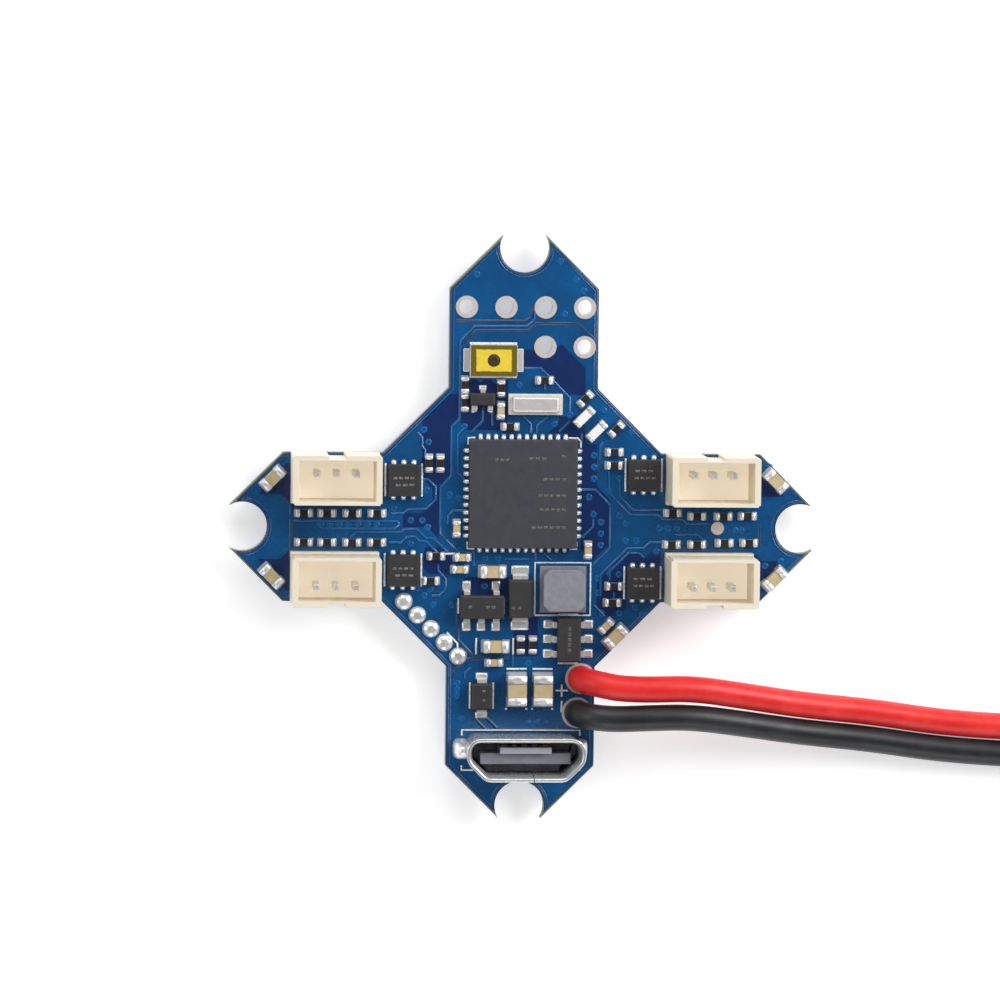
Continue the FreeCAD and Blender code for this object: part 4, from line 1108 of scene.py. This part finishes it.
def printed_lines():
    """The plain print: lines and brackets round parts, and the signs of the battery leads."""
    lines = []
    for node, across, along, upright in (
        ("switch_frame", 0.0, 0.06, False),
        ("converter", -0.1, 0.16, False),
        ("regulator", 0.04, -0.25, True),
        ("small_diode", 0.1, 0.0, True),
    ):
        low, high = (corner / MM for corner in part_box(node))
        lines += bars_beside(*grown_box(low, high, across, along), upright)
    for middle, _, size in solids("driver_chips"):
        half = size / 2
        lines += bars_beside(*grown_box(middle - half, middle + half, 0.15, 0.04), True)

    left, low, right, high = grown_box(*(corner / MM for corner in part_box("inductor_foot")), 0.3, 0.2)
    lines.append([(left, low), (right, low), (right, high), (left, high), (left, low)])

    left, low, right, high = grown_box(*(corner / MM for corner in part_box("processor")), 0.03, 0.08)
    leg, cut = 0.45, 0.2
    for x, y, inward, up in ((left, high, 1, -1), (left, low, 1, 1), (right, low, -1, 1)):
        lines.append([(x + inward * leg, y), (x, y), (x, y + up * leg)])
    first_pin = [(right - 0.6, high), (right, high), (right + cut, high - cut), (right + cut, high - 0.6)]
    lines.append(first_pin)

    low, high = (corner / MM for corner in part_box("usb_shell"))
    foot, rear = low.y + 0.2, low.y + 0.5
    lines.append([(low.x, high.y - 0.35), (low.x, high.y), (high.x, high.y), (high.x, high.y - 0.35)])
    lines.append([(low.x, rear), (low.x, foot), (low.x + 0.75, foot)])
    lines.append([(high.x - 0.35, foot), (high.x, foot), (high.x, rear)])

    for middle, _, _ in solids("large_capacitors"):
        left, right = middle.x - 0.65, middle.x + 0.65
        lines.append([(left, middle.y + 1.34), (right, middle.y + 1.34)])
        lines += [[(x - 0.07, middle.y - 1.26), (x + 0.07, middle.y - 1.26)] for x in (left, right)]

    plus_x, plus_y, arm = 2.68, -10.55, 0.4
    lines.append([(plus_x, plus_y - arm), (plus_x, plus_y + arm)])
    lines.append([(plus_x - arm, plus_y), (plus_x + arm, plus_y)])
    lines.append([(plus_x, plus_y - 1.4), (plus_x, plus_y - 0.66)])
    lines += [[(x, -8.2), (x, -7.15)] for x in (-2.9, -0.5)]
    lines.append(route(-4.8, -6.8, "SE 0.5, SE 0.2, S 0.4"))
    lines.append(route(-5.2, -1.7, "E 1.2"))
    return lines


ARM_HALF_WIDTH = 4.8
WAIST_REACH = 13.8
SIDE_REACH = 20.22
NOTCH_CENTRE = 18.034
NOTCH_RADIUS = 1.6


def edge_line(inset):
    """A closed line round the board at a distance inside its edge."""
    half, radius = ARM_HALF_WIDTH - inset, NOTCH_RADIUS + inset
    waist, side = WAIST_REACH - inset * math.sqrt(2), SIDE_REACH - inset * math.sqrt(2)
    centre = NOTCH_CENTRE
    run = side - centre
    horn = (run + math.sqrt(2 * radius**2 - run**2)) / 2
    arm = [(half, waist - half), (half, side - half), (horn, centre + run - horn)]
    start = math.atan2(run - horn, horn)
    for step in range(1, 16):
        angle = start - (math.pi + 2 * start) * step / 16
        arm.append((radius * math.cos(angle), centre + radius * math.sin(angle)))
    arm += [(-x, y) for x, y in reversed(arm[:3])]
    line = []
    for quarter in range(4):
        c, s = round(math.cos(math.pi / 2 * quarter)), round(math.sin(math.pi / 2 * quarter))
        line += [(c * x - s * y, s * x + c * y) for x, y in arm]
    return [*line, line[0]]


def slabs(name, outlines, level, height, material):
    """Thin flat closed plates with the given outlines of (x, y) points."""
    shape = bmesh.new()
    for number, points in enumerate(outlines):
        thick = height + SLAB_LIFT * number
        lower = [shape.verts.new(Vector((x, y, level)) * MM) for x, y in points]
        upper = [shape.verts.new(Vector((x, y, level + thick)) * MM) for x, y in points]
        count = len(points)
        shape.faces.new(upper)
        shape.faces.new(list(reversed(lower)))
        for i in range(count):
            j = (i + 1) % count
            shape.faces.new((lower[i], lower[j], upper[j], upper[i]))
    bmesh.ops.recalc_face_normals(shape, faces=shape.faces)
    return added(name, mesh_of(shape, name), material)


class BOARD_OT_circuit_board(Maker, bpy.types.Operator):
    """Finishes the board with its mask, copper relief, vias and print"""

    bl_idname = "board.circuit_board"
    bl_label = "Circuit board"

    def make(self):
        painted("circuit_board", "board")
        width, gap, silk = sizes().trace, sizes().gap, sizes().silk
        slabs("bare_areas", bare_areas(), TOP, 0.006, "bare")
        ribbons("trace_gaps", trace_gaps(), 0.6 * gap, 0.02 * MM, TOP + 0.002, "gap")
        ribbons("edge_gap", [edge_line(0.13)], 0.16 * MM, 0.02 * MM, TOP + 0.002, "gap")
        ribbons("edge_copper", [edge_line(0.26)], 0.08 * MM, 0.05 * MM, TOP + 0.01, "trace")
        ribbons("copper_traces", copper_traces(), width, 0.05 * MM, TOP + 0.02, "trace")
        ribbons("white_print", printed_lines(), silk, 0.03 * MM, TOP + 0.05, "silk")
        spots = []
        for x, y in via_places():
            spots.append(((x, y, TOP), 0.0, (1, 1, 1)))
            spots.append(((x, y, UNDER), (math.pi, 0.0, 0.0), (1, 1, 1)))
        placed("covered_vias", covered_via(sizes().via / MM), spots, "trace", "board")


class BOARD_OT_sockets(Maker, bpy.types.Operator):
    """Finishes the four motor sockets and their pins"""

    bl_idname = "board.sockets"
    bl_label = "Motor sockets"

    def make(self):
        for place in ("left_front", "right_front", "right_rear", "left_rear"):
            rounded(f"motor_socket_{place}", "socket_nylon", 0.07, 3)
        rounded("motor_socket_pins", "pin_metal", 0.03)


class BOARD_OT_usb(Maker, bpy.types.Operator):
    """Finishes the upright USB socket"""

    bl_idname = "board.usb"
    bl_label = "USB socket"

    def make(self):
        low, high = (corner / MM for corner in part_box("usb_shell"))
        middle = (low + high) / 2
        flare = 0.18
        half, back = (high.x - low.x) / 2 - flare, (high.y - low.y) / 2 - flare
        corners = (
            (half, back, 0.75), (-half, back, 0.75), (-half, 1.15 - back, 0.9),
            (1.15 - half, -back, 0.7), (half - 1.15, -back, 0.7), (half, 1.15 - back, 0.9),
        )
        profile = (
            (0.0, 0.0), (4.05, 0.0), (4.35, 0.03), (4.7, 0.12), (4.86, 0.17), (4.96, 0.18), (5.0, 0.12),
            (5.0, 0.02), (4.96, -0.04), (4.86, -0.08), (4.6, -0.13), (4.3, -0.18), (4.1, -0.2), (0.0, -0.2),
        )
        rings = []
        for up, grow in profile:
            around = outline(corners, grow)
            rings.append([Vector((middle.x + p.x, middle.y + p.y, TOP + up)) * MM for p in around])
        shell = lofted(rings, "usb_shell_drawn", hollow=True)
        added("usb_shell_drawn", shell, "shell_steel", ROOT, ("usb_shell",))
        rounded("usb_moulding", "moulding", 0.05)
        rounded("usb_contacts", "contact_gold", 0.02)
        spots = []
        for side, swell in ((-1, 1.15), (1, 0.95)):
            spots.append(((middle.x + side * (half + 0.2), middle.y + 0.2, TOP), 0.0, (swell, 1.35, 1.7)))
        placed("usb_shoulder_solder", bead(), spots, "solder", "solder", ("usb_solder",))


class BOARD_OT_chips(Maker, bpy.types.Operator):
    """Finishes the chips, their leads and their marks"""

    bl_idname = "board.chips"
    bl_label = "Chips"

    def make(self):
        rounded("processor", "processor_case", 0.04)
        for node in ("driver_chips", "regulator", "converter", "power_diode", "small_diode", "transistor"):
            rounded(node, "chip_case", 0.04)
        for chip in ("regulator", "converter", "power_diode", "small_diode", "transistor"):
            rounded(f"{chip}_leads", "pin_metal", 0.03)
            low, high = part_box(chip)
            centre = (low + high) / 2 / MM
            spots = []
            for middle, turn, size in solids(f"{chip}_leads"):
                away = Vector((middle.x - centre.x, middle.y - centre.y))
                way = Vector((math.cos(turn), math.sin(turn)))
                if min(abs(away.x), abs(away.y)) < 0.05:
                    way = Vector((round(away.x, 1), round(away.y, 1))).normalized()
                if way.dot(away) < 0:
                    way = -way
                turned = abs(way.dot(Vector((math.cos(turn), math.sin(turn))))) > 0.5
                reach, width = (size.x, size.y) if turned else (size.y, size.x)
                place = (middle.x + way.x * (reach * 0.25), middle.y + way.y * (reach * 0.25), TOP)
                spots.append((place, math.atan2(way.y, way.x), (reach * 0.85, width + 0.18, 1)))
            placed(f"{chip}_pads", wetted_pad(1.0, 1.0, 0.12), spots, "solder", "solder")
        chip_marks()
        for node in ("processor_lands", "driver_lands"):
            spots = []
            for middle, turn, size in solids(node):
                low = (middle.x, middle.y, middle.z - size.z / 2)
                spots.append((low, turn, (size.x + 0.04, size.y + 0.04, 0.24)))
            placed(f"{node}_solder", bead(), spots, "solder", "solder", (node,))


def bars(x, y, turn, rows):
    """Short strokes in rows on a chip: each row gives its start, its end, its height and how many."""
    strokes = []
    c, s = math.cos(turn), math.sin(turn)
    for start, end, level, count in rows:
        pitch = (end - start) / count
        for i in range(count):
            a, b = start + pitch * (i + 0.15), start + pitch * (i + 0.85)
            strokes.append([(x + c * u - s * level, y + s * u + c * level) for u in (a, b)])
    return strokes


def chip_marks():
    """Faint generic strokes where the real chips have their laser marks."""
    drivers = []
    for middle, _, size in solids("driver_chips"):
        facing = math.pi if middle.x < 0 else 0.0
        drivers += bars(middle.x, middle.y, facing, ((-0.7, 0.6, 0.3, 3), (-0.7, 0.75, -0.15, 4)))
        level = middle.z + size.z / 2
    ribbons("driver_marks", drivers, 0.16 * MM, 0.02 * MM, level, "mark")
    low, high = (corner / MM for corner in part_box("processor"))
    x, y = (low.x + high.x) / 2, (low.y + high.y) / 2
    rows = (
        (0.3, 1.5, 2.3, 3), (2.4, 2.75, 2.45, 1), (1.2, 2.8, 0.95, 4), (0.9, 2.8, -0.1, 5),
        (1.0, 2.8, -1.0, 5), (0.5, 2.8, -2.15, 6), (-1.9, -0.9, 2.2, 3),
    )
    strokes = bars(x, y, 0.0, rows)
    ribbons("processor_marks", strokes, 0.2 * MM, 0.012 * MM, high.z, "faint_mark")
    for chip, turn, rows in (
        ("converter", -math.pi / 2, ((-0.9, 0.8, 0.0, 5),)),
        ("regulator", 0.0, ((0.2, 0.9, 0.0, 2), (-0.95, -0.6, 0.0, 1))),
        ("small_diode", 0.0, ((-0.05, 0.25, 0.35, 1), (-0.05, 0.25, -0.25, 1))),
        ("power_diode", math.pi / 2, ((-0.7, -0.45, 0.5, 1), (-0.7, -0.45, 0.1, 1))),
    ):
        low, high = (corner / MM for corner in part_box(chip))
        x, y = (low.x + high.x) / 2, (low.y + high.y) / 2
        strokes = bars(x, y, turn, rows)
        ribbons(f"{chip}_marks", strokes, 0.22 * MM, 0.016 * MM, high.z, "faint_mark")


class BOARD_OT_inductor(Maker, bpy.types.Operator):
    """Finishes the inductor and the resonator"""

    bl_idname = "board.inductor"
    bl_label = "Inductor and resonator"

    def make(self):
        rounded("inductor_core", "ferrite", 0.08, 3)
        rounded("inductor_foot", "moulding", 0.05)
        rounded("resonator_base", "ceramic_white", 0.04)
        rounded("resonator_lid", "lid_metal", 0.08, 3)


class BOARD_OT_switch(Maker, bpy.types.Operator):
    """Finishes the boot switch"""

    bl_idname = "board.switch"
    bl_label = "Boot switch"

    def make(self):
        rounded("switch_frame", "switch_metal", 0.05)
        rounded("switch_terminals", "switch_metal", 0.06)
        rounded("switch_film", "switch_film", 0.02)
        painted("switch_dome", "dome_steel")
        painted("switch_stem", "stem")


def solder_ends(kind, node, below=False):
    """Puts soldered ends in place of the plain ends of every two-ended part of one kind."""
    bodies = [middle for middle, _, _ in solids(node)]
    spots = []
    for middle, turn, size in solids(f"{kind}_ends"):
        body = min(bodies, key=lambda b: (b - middle).length)
        away = (middle - body).xy.normalized()
        across = abs(away.x * math.cos(turn) + away.y * math.sin(turn)) < 0.7
        length, width = (size.y, size.x) if across else (size.x, size.y)
        heading = math.atan2(away.y, away.x)
        if below:
            spots.append(((middle.x, middle.y, UNDER), (math.pi, 0.0, heading), (1, 1, 1)))
        else:
            spots.append(((middle.x, middle.y, TOP), heading, (1, 1, 1)))
    end = soldered_end(length, width, size.z, 0.05 if kind == "indicator_light" else 0.1 + 0.06 * width)
    placed(f"{kind}_soldered_ends", end, spots, "end", "solder", (f"{kind}_ends",))


class BOARD_OT_small_parts(Maker, bpy.types.Operator):
    """Finishes the capacitors, resistors and indicator lights with their soldered ends"""

    bl_idname = "board.small_parts"
    bl_label = "Small parts"

    def make(self):
        for kind, node, material, slot in (
            ("large_capacitor", "large_capacitors", "ceramic_tan", "ceramic_tan"),
            ("medium_capacitor", "medium_capacitors", "ceramic_tan", "ceramic_tan"),
            ("small_capacitor", "small_capacitors", "ceramic_tan", "ceramic_tan"),
            ("resistor", "resistors", "resistor_film", "resistor_film"),
            ("indicator_light", "indicator_lights", "light_case", "light_case"),
        ):
            rounded(node, material, 0.03)
            solder_ends(kind, node)


class BOARD_OT_solder(Maker, bpy.types.Operator):
    """Finishes the plated holes and the solder in them"""

    bl_idname = "board.solder"
    bl_label = "Holes and solder"

    def make(self):
        for node in ("plated_rings", "lead_rings", "test_pad"):
            painted(node, "plating")
        for node in ("filled_joints", "socket_pin_joints", "lead_joints"):
            painted(node, "solder")


class BOARD_OT_underside(Maker, bpy.types.Operator):
    """Finishes the parts under the board"""

    bl_idname = "board.underside"
    bl_label = "Underside"

    def make(self):
        for node in ("power_transistors", "motor_controllers", "motion_sensor"):
            rounded(node, "chip_case", 0.04)
        for node in ("power_transistor_lands", "underside_chip_lands"):
            painted(node, "solder")
        rounded("underside_capacitors", "ceramic_tan", 0.03)
        solder_ends("underside_capacitor", "underside_capacitors", below=True)


class BOARD_PT_panel(bpy.types.Panel):
    """Lists the settings and the pieces"""

    bl_idname = "BOARD_PT_panel"
    bl_label = "Flight Controller Board"
    bl_space_type = "VIEW_3D"
    bl_region_type = "UI"
    bl_category = "Board"

    def draw(self, context):
        for group in (context.scene.board_colours, context.scene.board_sizes):
            box = self.layout.box()
            for label in group.__annotations__:
                box.prop(group, label)
        for operator in OPERATORS:
            self.layout.operator(operator.bl_idname)


OPERATORS = (
    BOARD_OT_stage,
    BOARD_OT_leads,
    BOARD_OT_circuit_board,
    BOARD_OT_sockets,
    BOARD_OT_usb,
    BOARD_OT_chips,
    BOARD_OT_inductor,
    BOARD_OT_switch,
    BOARD_OT_small_parts,
    BOARD_OT_solder,
    BOARD_OT_underside,
)
CLASSES = (BoardColours, BoardSizes, *OPERATORS, BOARD_PT_panel)


def register():
    for kind in CLASSES:
        bpy.utils.register_class(kind)
    bpy.types.Scene.board_colours = bpy.props.PointerProperty(type=BoardColours)
    bpy.types.Scene.board_sizes = bpy.props.PointerProperty(type=BoardSizes)


def unregister():
    del bpy.types.Scene.board_sizes
    del bpy.types.Scene.board_colours
    for kind in reversed(CLASSES):
        bpy.utils.unregister_class(kind)


def main():
    register()
    RECIPES["ribbon"] = ribbon_recipe()
    RECIPES["scatter"] = scatter_recipe()
    for operator in OPERATORS:
        group, name = operator.bl_idname.split(".")
        getattr(getattr(bpy.ops, group), name)()


if __name__ == "__main__":
    main()
